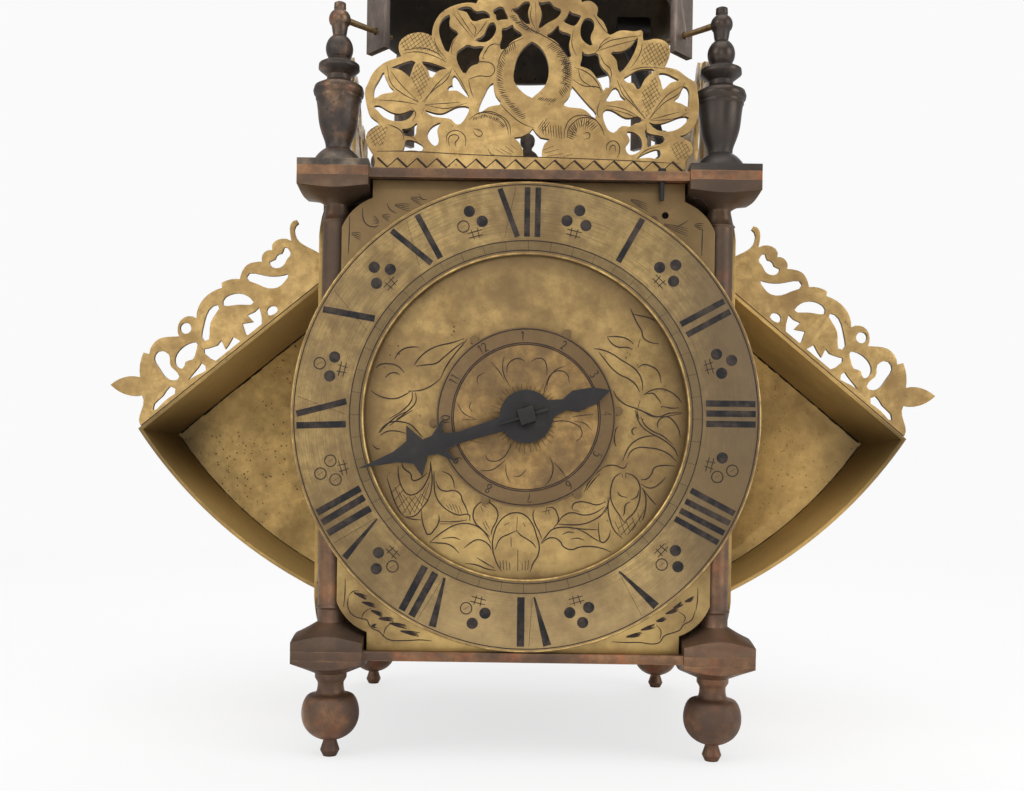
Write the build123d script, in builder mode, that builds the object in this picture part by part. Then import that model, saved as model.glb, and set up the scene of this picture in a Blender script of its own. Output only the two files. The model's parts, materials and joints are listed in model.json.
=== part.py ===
from build123d import *
import os
from math import asin, atan2, cos, degrees, hypot, pi, radians, sin, sqrt, tan

# Winged lantern clock. Millimetres. Z is up, the dial faces -Y, and the origin is on the
# floor under the middle of the square frame.

os.makedirs("parts", exist_ok=True)

# Frame
post_pitch = 138.0        # between pillar centres, both ways
block = 25.1              # square base block, capital and finial foot
foot_height = 36.0
bottom_plate_t = 3.3
pillar_height = 167.3
top_plate_t = 3.3
plate_setback = 2.5       # the plates' edges lie this far inside the blocks' faces
shaft_r = 5.05
base_slab = 3.0
abacus = 3.3
base_flare = 6.3
capital_flare = 7.0
tenon_r = 4.0
stud_r = 3.0
joint_gap = 0.1           # round a tenon or stud in its hole
run_gap = 0.05            # round a pivot in its hole

# Movement bars
bar_w = 14.0
bar_t = 4.0
going_front_y = -51.0
going_rear_y = -10.0
strike_front_y = 15.0
strike_rear_y = 55.0
bar_tenon_w = 8.0
tenon_rise = 7.0
wedge_t = 2.0

# Dial
dial_z = 122.7
dial_plate_t = 1.6
dial_plate_w = 132.5
dial_back_y = -74.6
ring_r = 83.2
ring_hole_r = 57.2
ring_t = 2.4
disc_r = 31.8
disc_t = 1.5
disc_seat_r = 4.5
hand_reach = 61.5
tail_reach = 31.3
hand_t = 1.7
hand_boss_r = 9.4
hand_angle = 198.0        # anticlockwise from the right, seen from the front
arbor_end_y = -88.0

# Bell
bell_mouth_z = 292.0
bell_r = 65.0
bell_height = 55.0
bell_wall = 2.4
strap_t = 2.6
strap_w = 10.5
strap_reach = 80.0        # out from the middle along the diagonal
strap_end_z = 259.5
pin_z = 266.6

# Doors and wings
door_t = 1.6
door_inner_x = 74.6
door_front_y = -64.5
hinge_y = 53.5
hinge_r = 1.4
wing_depth = 50.0
sheet = 1.5
wing_reach = 154.7
wing_wall_r = 186.0       # round the verge
lid_slope = 39.5
door_window_w = 46.0

# Escapement
verge_rise = 12.4         # verge above the top plate
verge_r = 1.6
crown_r = 13.0
crown_teeth = 15
crown_y = -27.0
pendulum_y = 3.0
rod_r = 1.2
bob_r = 176.0             # outer edge of the anchor bob round the verge
bob_t = 6.0
bob_half_angle = 10.0

# Trains: teeth and module of each wheel, leaves of each pinion
great_z = 95.7
arbor_r = 2.2
pivot_r = 1.5
wheel_t = 2.4
great_teeth = 56
great_module = 1.25
second_leaves = 7
second_teeth = 42
second_module = 1.4
contrate_leaves = 7
contrate_teeth = 36
contrate_module = 1.35
crown_leaves = 6
hour_teeth = 48
report_leaves = 4
strike_teeth = 60
strike_module = 1.15
hoop_leaves = 6
hoop_teeth = 48
hoop_module = 1.15
warning_leaves = 6
warning_teeth = 45
warning_module = 1.1
fly_leaves = 6
count_teeth = 39
count_module = 1.3
count_rim_r = 34.0
hammer_pins = 8
pin_circle_r = 29.0

# Levels and places that follow
post = post_pitch / 2
frame_half = post + block / 2
plate_half = frame_half - plate_setback
deck_z = foot_height + bottom_plate_t
ceiling_z = deck_z + pillar_height
roof_z = ceiling_z + top_plate_t
verge_z = roof_z + verge_rise
dial_front_y = dial_back_y - dial_plate_t
door_outer_x = door_inner_x + door_t
hinge_x = door_inner_x + door_t / 2
block_inner = post - block / 2
second_z = great_z + (great_teeth + second_leaves) / 2 * great_module
contrate_z = second_z + (second_teeth + contrate_leaves) / 2 * second_module
contrate_r = contrate_teeth / 2 * contrate_module
crown_mesh_z = contrate_z + contrate_r
hour_module = (dial_z - great_z) / ((hour_teeth + report_leaves) / 2)
hoop_z = great_z + (strike_teeth + hoop_leaves) / 2 * strike_module
warning_z = hoop_z + (hoop_teeth + warning_leaves) / 2 * hoop_module
fly_z = warning_z + (warning_teeth + fly_leaves) / 2 * warning_module
count_z = great_z + (count_teeth + report_leaves) / 2 * count_module
corners = {"front_left": (-post, -post), "front_right": (post, -post),
           "back_left": (-post, post), "back_right": (post, post)}


def keep(piece, name):
    """Label a finished piece and write its STEP file."""
    piece.part.label = name
    export_step(piece.part, f"parts/{name}.step")


def facing(y, z=0.0, x=0.0):
    """A sketch plane seen from the front: X to the right, Z up, extruding towards the viewer."""
    return Plane(origin=(x, y, z), x_dir=(1, 0, 0), z_dir=(0, -1, 0))


def on_axis(radius, front_y, rear_y, z, x=0.0, mode=Mode.ADD):
    """A round bar from front to back."""
    with BuildSketch(facing(rear_y, z, x)) as end:
        Circle(radius)
    extrude(end.sketch, amount=rear_y - front_y, mode=mode)


def slab(width, front_y, rear_y, bottom_z, top_z, x=0.0, mode=Mode.ADD):
    """A flat bar standing across the frame."""
    with BuildSketch(facing(rear_y, (bottom_z + top_z) / 2, x)) as face:
        Rectangle(width, top_z - bottom_z)
    extrude(face.sketch, amount=rear_y - front_y, mode=mode)


# ---- Frame plates

def plate_outline():
    Rectangle(2 * plate_half, 2 * plate_half)
    with GridLocations(post_pitch, post_pitch, 2, 2):
        Rectangle(block, block)


def bar_slots():
    with Locations(*[(0, y) for y in (going_front_y, going_rear_y, strike_front_y, strike_rear_y)]):
        Rectangle(bar_tenon_w + 2 * joint_gap, bar_t + 2 * joint_gap, mode=Mode.SUBTRACT)


def hinge_holes():
    with Locations((hinge_x, hinge_y), (-hinge_x, hinge_y)):
        Circle(hinge_r + run_gap, mode=Mode.SUBTRACT)


rope_hole_r = 6.5
rope_x = 21.0
going_rope_y = -32.5
strike_rope_y = 34.0

with BuildPart() as bottom_plate:
    with BuildSketch(Plane.XY.offset(foot_height)):
        plate_outline()
        with GridLocations(post_pitch, post_pitch, 2, 2):
            Circle(tenon_r + joint_gap, mode=Mode.SUBTRACT)
        bar_slots()
        hinge_holes()
        with Locations(*[(x, y) for x in (-rope_x, rope_x) for y in (going_rope_y, strike_rope_y)]):
            Circle(rope_hole_r, mode=Mode.SUBTRACT)
    extrude(amount=bottom_plate_t)
keep(bottom_plate, "bottom_plate")

hammer_y = 10.0
hammer_slot = (16.0, 7.0)
hammer_slot_x = 63.0
pendulum_slot = (22.0, 8.0)
dial_pin_x = 47.0
dial_pin_r = 0.8
dial_pin_y = dial_front_y - 1.2
crown_arbor_r = 1.6
front_cock_y = -45.0
rear_cock_y = -5.0

with BuildPart() as top_plate:
    with BuildSketch(Plane.XY.offset(ceiling_z)):
        plate_outline()
        with GridLocations(post_pitch, post_pitch, 2, 2):
            Circle(stud_r + joint_gap, mode=Mode.SUBTRACT)
        bar_slots()
        hinge_holes()
        with Locations((0, crown_y)):
            Circle(crown_arbor_r + run_gap, mode=Mode.SUBTRACT)
        with Locations((0, pendulum_y)):
            SlotOverall(*pendulum_slot, mode=Mode.SUBTRACT)
        with Locations((hammer_slot_x, hammer_y)):
            SlotOverall(*hammer_slot, mode=Mode.SUBTRACT)
        with Locations((dial_pin_x, dial_pin_y)):
            Circle(dial_pin_r + joint_gap, mode=Mode.SUBTRACT)
    extrude(amount=top_plate_t)
keep(top_plate, "top_plate")

# ---- Turned feet, pillars and finials: a turned profile, squared where it meets the plates

square_cut = block * 0.72          # turned radius that reaches past the square's corners
foot_bore = 9.0
foot_slab = 0.9
finial_bore = 12.0


def squared(bottom_z, top_z):
    """Cut what was turned down to the square of the block."""
    with BuildSketch(Plane.XY.offset(bottom_z)) as square:
        Rectangle(block, block)
    extrude(square.sketch, amount=top_z - bottom_z, mode=Mode.INTERSECT)


with BuildPart() as turned_foot:
    with BuildSketch(Plane.XZ):
        with BuildLine():
            pad = Polyline((0, 0), (2.4, 0), (3.5, 2.2), (2.3, 5.9))
            ball = Spline(pad @ 1, (8.3, 9.4), (10.35, 16.2), (7.6, 22.2), (4.65, 26.6),
                          tangents=((1, 0.25), (0, 1)))
            neck = Polyline(ball @ 1, (5.7, 28.4), (5.7, 30.0))
            flare = ThreePointArc(neck @ 1, (10.8, 32.2), (square_cut, foot_height - foot_slab))
            Polyline(flare @ 1, (square_cut, foot_height), (0, foot_height), (0, 0))
        make_face()
    revolve(axis=Axis.Z)
    squared(0, foot_height)
    with BuildSketch(Plane.XY.offset(foot_height)):
        Circle(tenon_r + joint_gap)
    extrude(amount=-foot_bore, mode=Mode.SUBTRACT)

with BuildPart() as feet:
    with GridLocations(post_pitch, post_pitch, 2, 2):
        add(turned_foot.part)
keep(feet, "feet")

with BuildPart() as turned_pillar:
    lower_ring = deck_z + 14.6
    upper_ring = ceiling_z - 14.0
    capital_ring = ceiling_z - capital_flare
    with BuildSketch(Plane.XZ):
        with BuildLine():
            base = Polyline((0, foot_height - foot_bore + 1), (tenon_r, foot_height - foot_bore + 1),
                            (tenon_r, deck_z), (square_cut, deck_z), (square_cut, deck_z + base_slab))
            cove = ThreePointArc(base @ 1, (9.6, deck_z + base_slab + 3.6),
                                 (shaft_r, deck_z + base_slab + base_flare))
            shaft = Polyline(cove @ 1, (shaft_r, lower_ring - 0.8), (shaft_r + 0.75, lower_ring),
                             (shaft_r, lower_ring + 0.8), (shaft_r, upper_ring - 0.8),
                             (shaft_r + 0.75, upper_ring), (shaft_r, upper_ring + 0.8),
                             (shaft_r - 1.0, capital_ring - 1.2), (shaft_r + 0.7, capital_ring))
            bell_curve = ThreePointArc(shaft @ 1, (10.6, ceiling_z - 5.0), (square_cut, ceiling_z - abacus))
            Polyline(bell_curve @ 1, (square_cut, ceiling_z), (stud_r + joint_gap, ceiling_z),
                     (stud_r + joint_gap, ceiling_z - finial_bore), (0, ceiling_z - finial_bore),
                     (0, foot_height - foot_bore + 1))
        make_face()
    revolve(axis=Axis.Z)
    squared(0, ceiling_z)

finial_slab = 2.4

with BuildPart() as turned_finial:
    with BuildSketch(Plane.XZ):
        with BuildLine():
            stem = Polyline((0, ceiling_z - finial_bore + 1), (stud_r, ceiling_z - finial_bore + 1),
                            (stud_r, roof_z), (square_cut, roof_z), (square_cut, roof_z + finial_slab),
                            (9.2, roof_z + finial_slab), (8.8, roof_z + 4.4))
            cushion = ThreePointArc(stem @ 1, (7.0, roof_z + 7.0), (4.5, roof_z + 9.0))
            urn = Spline(cushion @ 1, (5.7, roof_z + 14.0), (6.9, roof_z + 18.0), (7.6, roof_z + 23.8),
                         (8.0, roof_z + 26.4), tangents=((-0.1, 1), (0.2, 1)))
            shoulder = Polyline(urn @ 1, (8.3, roof_z + 26.9), (8.2, roof_z + 27.7), (8.9, roof_z + 28.6),
                                (9.15, roof_z + 29.7), (8.7, roof_z + 31.3), (6.2, roof_z + 32.7),
                                (4.4, roof_z + 33.7), (4.3, roof_z + 35.4), (7.4, roof_z + 37.9),
                                (7.3, roof_z + 39.4), (3.6, roof_z + 41.6))
            ball_top = ThreePointArc(shoulder @ 1, (4.9, roof_z + 45.6), (2.4, roof_z + 50.0))
            neck_top = Polyline(ball_top @ 1, (3.0, roof_z + 53.8), (3.6, roof_z + 54.5))
            knob = ThreePointArc(neck_top @ 1, (3.9, roof_z + 56.6), (1.9, roof_z + 59.3))
            Polyline(knob @ 1, (2.2, roof_z + 60.0), (2.1, roof_z + 61.8), (1.3, roof_z + 62.3),
                     (0, roof_z + 62.3), (0, ceiling_z - finial_bore + 1))
        make_face()
    revolve(axis=Axis.Z)
    squared(0, roof_z + 80)

pin_r = 1.2
knob_pin_depth = 2.4

for corner, (x, y) in corners.items():
    with BuildPart() as pillar:
        with Locations((x, y, 0)):
            add(turned_pillar.part)
        # The side levers' arbors turn in the pillars
        for lever_z in ((150.0, 182.0) if x < 0 else (165.0,)):
            on_axis(pivot_r + run_gap, -post, post, lever_z, x, Mode.SUBTRACT)
    keep(pillar, f"pillar_{corner}")
    with BuildPart() as finial:
        with Locations((x, y, 0)):
            add(turned_finial.part)
        inward = Plane(origin=(x, y, pin_z), z_dir=(-x, -y, 0))
        with BuildSketch(inward):
            Circle(pin_r + joint_gap)
        extrude(amount=10, mode=Mode.SUBTRACT)
    keep(finial, f"finial_{corner}")

# ---- Bell, strap, its pins, finial and nut

bell_crown_z = bell_mouth_z + bell_height
hub_z = bell_crown_z + 3.0
bell_stud_r = 2.6

with BuildPart() as bell:
    with BuildSketch(Plane.XZ):
        with BuildLine():
            outside = Spline((bell_r, bell_mouth_z), (bell_r - 4.4, bell_mouth_z + 12),
                             (bell_r - 17, bell_mouth_z + 38), (bell_r * 0.38, bell_crown_z - 4),
                             (bell_stud_r + joint_gap, bell_crown_z), tangents=((-0.8, 1), (-1, 0)))
            inside = Spline((bell_r - bell_wall, bell_mouth_z), (bell_r - 4.4 - bell_wall, bell_mouth_z + 11.6),
                            (bell_r - 17 - bell_wall * 0.8, bell_mouth_z + 36),
                            (bell_r * 0.38 - 1, bell_crown_z - 4 - bell_wall),
                            (bell_stud_r + joint_gap, bell_crown_z - bell_wall), tangents=((-0.8, 1), (-1, 0)))
            Line(outside @ 0, inside @ 0)
            Line(outside @ 1, inside @ 1)
        make_face()
    revolve(axis=Axis.Z)
keep(bell, "bell")

with BuildPart() as bell_strap:
    for turn in (45, 135):
        diagonal = Plane(origin=(0, 0, 0), x_dir=(cos(radians(turn)), sin(radians(turn)), 0),
                         z_dir=(sin(radians(turn)), -cos(radians(turn)), 0))
        with BuildSketch(diagonal):
            for side in (1, -1):
                with BuildLine():
                    crown = Line((0, hub_z + strap_t / 2), (side * 10, hub_z + strap_t / 2))
                    arch = ThreePointArc(crown @ 1, (side * strap_reach * 0.78, bell_mouth_z + 41),
                                         (side * strap_reach, bell_mouth_z - 4))
                    Line(arch @ 1, (side * strap_reach, strap_end_z))
                trace(line_width=strap_t)
        extrude(amount=strap_w / 2, both=True)
        for side in (1, -1):
            with BuildSketch(Plane(origin=(0, 0, pin_z), z_dir=(side * cos(radians(turn)),
                                                                 side * sin(radians(turn)), 0))):
                Circle(pin_r + joint_gap)
            extrude(amount=frame_half * 1.2, mode=Mode.SUBTRACT)
    with BuildSketch(Plane.XY.offset(hub_z)):
        Circle(11)
    extrude(amount=strap_t)
    with BuildSketch(Plane.XY.offset(hub_z)):
        Circle(bell_stud_r + joint_gap)
    extrude(amount=strap_t, mode=Mode.SUBTRACT)
keep(bell_strap, "bell_strap")

with BuildPart() as strap_pins:
    for x, y in corners.values():
        reach = hypot(x, y)
        start = (reach - knob_pin_depth - 0.6) / reach
        with BuildSketch(Plane(origin=(x * start, y * start, pin_z), z_dir=(-x, -y, 0))):
            Circle(pin_r)
        extrude(amount=reach * start - strap_reach + strap_t + 4, taper=1.0)
keep(strap_pins, "strap_pins")

with BuildPart() as bell_finial:
    with BuildSketch(Plane.XZ):
        with BuildLine():
            foot = Polyline((0, bell_crown_z - 9), (bell_stud_r, bell_crown_z - 9),
                            (bell_stud_r, hub_z + strap_t),
                            (6.5, hub_z + strap_t), (6.5, hub_z + strap_t + 2), (3.4, hub_z + strap_t + 4.5))
            body = ThreePointArc(foot @ 1, (5.6, hub_z + strap_t + 11), (2.4, hub_z + strap_t + 17))
            tip = ThreePointArc(body @ 1, (3.6, hub_z + strap_t + 21), (1.6, hub_z + strap_t + 25))
            Polyline(tip @ 1, (1.6, hub_z + strap_t + 28), (0, hub_z + strap_t + 28), (0, bell_crown_z - 9))
        make_face()
    revolve(axis=Axis.Z)
keep(bell_finial, "bell_finial")

with BuildPart() as bell_nut:
    with BuildSketch(Plane.XY.offset(bell_crown_z - bell_wall - 4.2)):
        RegularPolygon(7, 4)
        Circle(bell_stud_r + joint_gap, mode=Mode.SUBTRACT)
    extrude(amount=4)
    with BuildSketch(Plane.XY.offset(bell_crown_z)):
        Circle(8)
        Circle(bell_stud_r + joint_gap, mode=Mode.SUBTRACT)
    extrude(amount=hub_z - bell_crown_z)
keep(bell_nut, "bell_nut")

# ---- Dial plate, back plate and doors share one outline with hollowed corners

corner_step_z = 6.4
corner_hollow_z = 17.0


def notched_outline(half_w, bottom_z, top_z, step_half):
    """Half the plate's outline, mirrored: it stops clear of base blocks and capitals."""
    with BuildLine() as outline:
        foot_line = Polyline((0, bottom_z), (step_half, bottom_z), (step_half, bottom_z + corner_step_z))
        low_hollow = ThreePointArc(foot_line @ 1, (half_w - 3.6, bottom_z + corner_hollow_z - 5.8),
                                   (half_w, bottom_z + corner_hollow_z))
        side_line = Line(low_hollow @ 1, (half_w, top_z - corner_hollow_z))
        top_hollow = ThreePointArc(side_line @ 1, (half_w - 3.6, top_z - corner_hollow_z + 5.8),
                                   (step_half, top_z - corner_step_z))
        Polyline(top_hollow @ 1, (step_half, top_z), (0, top_z), (0, bottom_z))
    make_face(outline.edges())


dial_step = block_inner - 1.0
dial_hole_r = 3.6

with BuildPart() as dial_plate:
    with BuildSketch(facing(dial_back_y)):
        notched_outline(dial_plate_w / 2, deck_z, ceiling_z - 0.3, dial_step)
        mirror(about=Plane.YZ)
        with Locations((0, dial_z)):
            Circle(dial_hole_r, mode=Mode.SUBTRACT)
        with Locations((48.5, 195.0)):
            Circle(1.2, mode=Mode.SUBTRACT)
    extrude(amount=dial_plate_t)
keep(dial_plate, "dial_plate")

with BuildPart() as chapter_ring:
    with BuildSketch(facing(dial_front_y, dial_z)):
        Circle(ring_r)
        Circle(ring_hole_r, mode=Mode.SUBTRACT)
    extrude(amount=ring_t)
keep(chapter_ring, "chapter_ring")

disc_back_y = dial_front_y - 0.7
disc_knobs = 6

with BuildPart() as alarm_disc:
    with BuildSketch(facing(disc_back_y, dial_z)):
        Circle(disc_r)
        with PolarLocations(disc_r + 1.0, disc_knobs, start_angle=64.5):
            Circle(1.5)
        Circle(disc_seat_r + run_gap, mode=Mode.SUBTRACT)
    extrude(amount=disc_t)
keep(alarm_disc, "alarm_disc")

hand_back_y = disc_back_y - disc_t - 2.0
hand_square = 5.0

with BuildPart() as hour_hand:
    with BuildSketch(Plane(origin=(0, hand_back_y, dial_z),
                           x_dir=(cos(radians(hand_angle)), 0, sin(radians(hand_angle))),
                           z_dir=(0, -1, 0))):
        Circle(hand_boss_r)
        with BuildLine():
            Polyline((hand_boss_r - 1, 2.6), (24, 2.0), (30, 3.0), (27.5, 8.6), (33.5, 3.4), (37, 3.0),
                     (41, 9.4),
                     (42.6, 4.2), (48, 2.0), (hand_reach, 0))
            Polyline((hand_reach, 0), (48, -2.0), (42.6, -4.2), (41, -9.4), (37, -3.0), (33.5, -3.4),
                     (27.5, -8.6), (30, -3.0), (24, -2.0), (hand_boss_r - 1, -2.6), (hand_boss_r - 1, 2.6))
        make_face()
        with BuildLine():
            Polyline((-hand_boss_r + 1, 3.4), (-14, 2.0), (-18, 3.9), (-25, 2.9), (-tail_reach, 0))
            Polyline((-tail_reach, 0), (-25, -2.9), (-18, -3.9), (-14, -2.0), (-hand_boss_r + 1, -3.4),
                     (-hand_boss_r + 1, 3.4))
        make_face()
        Rectangle(hand_square + 2 * joint_gap, hand_square + 2 * joint_gap, mode=Mode.SUBTRACT)
    extrude(amount=hand_t)
keep(hour_hand, "hour_hand")

with BuildPart() as dial_pin:
    with BuildSketch(Plane.XY.offset(roof_z)):
        with Locations((dial_pin_x, dial_pin_y)):
            Circle(dial_pin_r)
    extrude(amount=-(roof_z - 200.0))
    with BuildSketch(Plane.XY.offset(roof_z)):
        with Locations((dial_pin_x, dial_pin_y)):
            Circle(dial_pin_r + 0.6)
    extrude(amount=1.2)
keep(dial_pin, "dial_pin")

# ---- Pierced frets

fret_t = 2.0
fret_w = 2 * block_inner - 0.9
cuts = 2                  # straight cuts between two drawn points


def smoothed(points, closed=False):
    """Short straight cuts along the smooth curve through some points, without the last of them."""
    curve = Spline(*points, periodic=closed, mode=Mode.PRIVATE)
    steps = cuts * (len(points) - (not closed))
    return [curve @ (n / steps) for n in range(steps)]


def sawn(points, mode):
    """A face inside a run of straight cuts."""
    with BuildLine() as edge:
        Polyline(*points, close=True)
    make_face(edge.edges(), mode=mode)


def outlined(*runs, mode=Mode.ADD):
    """A face inside smooth runs that meet at sharp corners. The last run closes on the first."""
    points = []
    for n, run in enumerate(runs):
        points += run if len(run) == 1 else smoothed(run + runs[(n + 1) % len(runs)][:1])
    sawn(points, mode)


def opening(*points, mode=Mode.SUBTRACT):
    """A smooth closed opening."""
    sawn(smoothed(points, closed=True), mode)


# the bodies of two dolphins with flowers between: x from the middle and y up from the plate
with BuildSketch() as fret_outline:
    outlined(
        [(-fret_w / 2, 0)],
        [(fret_w / 2, 0)],
        # right-hand bud, flower ring, upper bud, leaf and petal
        [(55.4, 3.6), (56.4, 5.9), (58, 7.9), (58, 10.2), (56.6, 12), (54, 13.1)],
        [(53.5, 13.8), (56.2, 14.7), (58.4, 17), (59.7, 20.2), (60.1, 24.8), (59.6, 29.3), (58.1, 33.4),
         (56.8, 34.1), (53.7, 36.3), (50.1, 37.9), (47.5, 38.3)],
        [(47.7, 38.3), (49.2, 41.3), (49.6, 44), (48.9, 46.3), (46.9, 47.8), (43.8, 48.2), (40.3, 47.5)],
        [(40.1, 47.5), (39.8, 49.8), (39.6, 51.1), (37.5, 50.9), (36.3, 50.8), (32.7, 51.1), (30, 50.3),
         (27.8, 49.4)],
        [(27.2, 50), (26.4, 52.7), (24.7, 55), (23.3, 56.3), (23.7, 58.2), (23, 60), (21.1, 61.3), (18.3, 61),
         (17.7, 60.8), (17.7, 61.5)],
        [(18, 62.2), (14.8, 64), (9.9, 64.9)],
        [(6.1, 63.8), (3.9, 67.5)],
        [(0, 69.4)],
        [(-3.9, 67.5), (-6.1, 63.8)],
        [(-9.9, 64.9), (-14.8, 64), (-18.9, 61.5)],
        # and the left-hand scroll, bud, ring and lower bud
        [(-19.7, 59.9), (-22.9, 60.2), (-26, 59.6), (-29.6, 58.2), (-32.4, 56.1), (-34.3, 53.2),
         (-35.1, 50.7)],
        [(-35.3, 48.1), (-37, 48.9), (-39.5, 49.4), (-42.2, 49), (-45, 47.7), (-46.8, 45.7),
         (-47, 43.2)],
        [(-46.1, 40.8), (-48.5, 39.9), (-52.1, 38.4), (-54.4, 36.6), (-56.7, 33.7), (-58.1, 30.4),
         (-58.5, 29.7), (-58.7, 26), (-58, 22.3), (-56.2, 18.7), (-53.7, 16.5)],
        [(-53.7, 16.1), (-56.2, 15), (-58.1, 12.9), (-58.3, 10.5), (-57.2, 8), (-55.4, 5)],
    )
    # round the middle leaf and under the tails
    opening((-6.9, 58.3), (-4.2, 59.3), (-2.5, 60.8), (-0.4, 60.6), (-1, 58.2), (-0.9, 55.3), (-0.5, 52.7),
            (-2.8, 53.6), (-4.9, 56.1))
    opening((2.6, 60.8), (4.2, 60.6), (6.4, 61.1), (8.2, 59.1), (10.6, 58.2), (10, 56.1), (7.8, 54.3),
            (5.2, 52.9), (2.8, 51.3), (3.2, 53.8), (3.7, 56.1), (3.1, 58.8))
    opening((-13.5, 57.6), (-9.8, 58.4), (-8.9, 56.4), (-8.1, 54.6), (-10.4, 54.3), (-12.5, 53.9),
            (-12.7, 56))
    opening((13.7, 57.8), (15.8, 56.7), (17.7, 56), (17, 54.4), (15.4, 52.4), (13.2, 53), (11.4, 54.1),
            (12.7, 55.7))
    opening((-6.6, 52.6), (-5.3, 50.7), (-3, 49.1), (-5.9, 47.1), (-8.3, 45), (-10.5, 43.5),
            (-11.1, 45.3), (-10.3, 48.2), (-10.4, 51.3), (-8.4, 51.5))
    opening((9.8, 52.5), (11, 50.3), (14.1, 49.4), (13.7, 46.7), (13.9, 43.5), (14.4, 41), (12.5, 42.1),
            (10.6, 44.8), (7.9, 47.5), (5.1, 48.8), (7.9, 50.7))
    # in the scroll on the left and the leaf ring on the right
    opening((-29.2, 55.9), (-31.6, 54.2), (-32.8, 51.2), (-32.3, 47.5), (-31, 44.2), (-29.6, 42.2),
            (-28.5, 44.7), (-27.1, 47.6), (-25.7, 49.2), (-28, 50.8), (-29.2, 52.9))
    opening((-26.4, 57.8), (-24.1, 58.7), (-21.6, 58.6), (-19.7, 57.1), (-17.6, 57.4), (-15.5, 56.7),
            (-14.4, 55.1), (-16.9, 54.5), (-20.8, 53.6), (-22, 55), (-23.6, 57))
    opening((-13.3, 53.3), (-12.4, 51.5), (-13, 49), (-15.1, 46.7), (-17.6, 46.1), (-19.9, 46.9),
            (-17.6, 48.1), (-16, 50.6), (-14.8, 52.9))
    opening((20.2, 55.4), (22, 54.5), (22.5, 52.2), (21.4, 49.5), (21.3, 47.7), (21.9, 45.4),
            (19.9, 46.1), (17.8, 48.5), (17.6, 51.7), (18.4, 54.2))
    # between the leaves and the bodies
    opening((-21.8, 45.2), (-19.5, 44.6), (-16.7, 44.7), (-17.8, 42.4), (-18.4, 40.7), (-18.2, 39.1),
            (-21.4, 37.4), (-23.3, 34.8), (-25.2, 37), (-26.4, 40.2), (-26.2, 42.7), (-24.3, 44.1))
    opening((18.4, 43.5), (21.3, 42.5), (23.6, 42.9), (24.4, 40.5), (25.7, 37.5), (27.8, 35.5),
            (28.3, 32.8), (27.7, 30.5), (26.7, 30.6), (26.1, 29.3), (25.2, 31.5), (24.5, 32.7), (22.7, 35.2),
            (20, 37.4), (17.4, 38.3), (18.2, 40.8))
    opening((38, 48.6), (37.8, 46.1), (36.4, 42.4), (33.7, 37.9), (31.6, 36), (30.9, 38.3), (30.1, 41),
            (28.2, 43.2), (31.5, 43.5), (34.5, 44.7), (36.5, 46.8))
    opening((-13.2, 31.8), (-12.8, 29.1), (-11.9, 26.7), (-10.2, 24.4), (-13.3, 23.6), (-16, 22.3),
            (-18.1, 20.9), (-17.6, 24.5), (-15.7, 28.7), (-14.3, 31.1))
    opening((15, 30.9), (16.6, 29.1), (19.3, 26), (22.4, 22.8), (23.6, 21), (23.4, 19.7), (20.7, 21.7),
            (17.2, 23.2), (11.8, 24.5), (13.6, 26.8), (14.4, 29.1))
    # round the petals
    opening((-52.1, 35), (-51.6, 32.9), (-51, 31.8), (-49.9, 29.8), (-48.4, 28.4), (-51.5, 27.5),
            (-53.9, 26.5), (-55.3, 25.6), (-55.7, 27.7), (-55.2, 30.1), (-54, 32.1))
    opening((-49.6, 36.7), (-45.7, 38.3), (-40.9, 39.1), (-42.1, 36.3), (-43, 33.4), (-45.6, 35.5))
    opening((-38.7, 39), (-35.8, 38.7), (-32.6, 37.7), (-29.9, 36.5), (-32.1, 36.1), (-34.1, 34.4), (-35.5, 33.1),
            (-36.1, 34.8), (-37.5, 37.2))
    opening((-27, 34.3), (-25.4, 32.3), (-23.9, 29.8), (-22.8, 28.4), (-21.9, 26.5), (-24.5, 27.9),
            (-27, 28.9), (-29.6, 29.1), (-27.7, 30.7), (-27.5, 30), (-27.8, 32.4))
    opening((-55.5, 23), (-53.4, 23), (-51.1, 21.6), (-48.7, 20.6), (-45.4, 20.5), (-41.2, 21.5),
            (-41.8, 20.1), (-43.8, 18.2), (-46.6, 17.6), (-49.8, 18), (-52.6, 19.5), (-54.6, 21.6))
    opening((-37.3, 21.8), (-35.5, 21.2), (-31.1, 20.7), (-27.6, 22.4), (-24, 23.4), (-21.7, 22.8),
            (-22.1, 20.8), (-23.5, 18.3), (-25.4, 16.7), (-26.7, 17.1), (-27.9, 18.5), (-30.3, 19),
            (-33.4, 19.4), (-35.9, 20.2))
    opening((33.3, 34.2), (35.6, 35.6), (38.2, 37), (41.2, 37.5), (44.2, 37.3), (42.2, 35.3), (40, 32.5),
            (38.7, 30.2), (38.3, 30), (37.6, 30.8), (36.1, 32.6), (35.1, 32.4))
    opening((45.9, 36), (48.8, 35.8), (51.5, 34.5), (53, 33.6), (51.1, 33.1), (48.5, 31.3), (47.1, 30.3),
            (46.9, 30.9), (46.5, 32.7), (46.4, 33.1))
    opening((30.5, 30.7), (31.7, 29.3), (32.6, 27.5), (34.3, 26.4), (30.8, 26.1), (28.6, 25.7), (27, 25.9),
            (27.9, 27.9), (29.2, 30))
    opening((54.9, 31.5), (56.2, 30.4), (56.6, 28.3), (56.5, 26.1), (56.3, 24), (54.3, 25.1), (51.2, 26.2),
            (52.9, 27.8), (53.8, 29.7))
    opening((27.1, 22.9), (29.5, 22.5), (32.2, 20.9), (35.3, 19.9), (39.3, 20.1), (39.8, 18.6), (37.7, 18.1),
            (35.8, 16.9), (33.1, 17.1), (31.4, 15.9), (30, 14.6), (28.3, 15.2), (26.7, 17.9),
            (26, 20.6))
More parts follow.
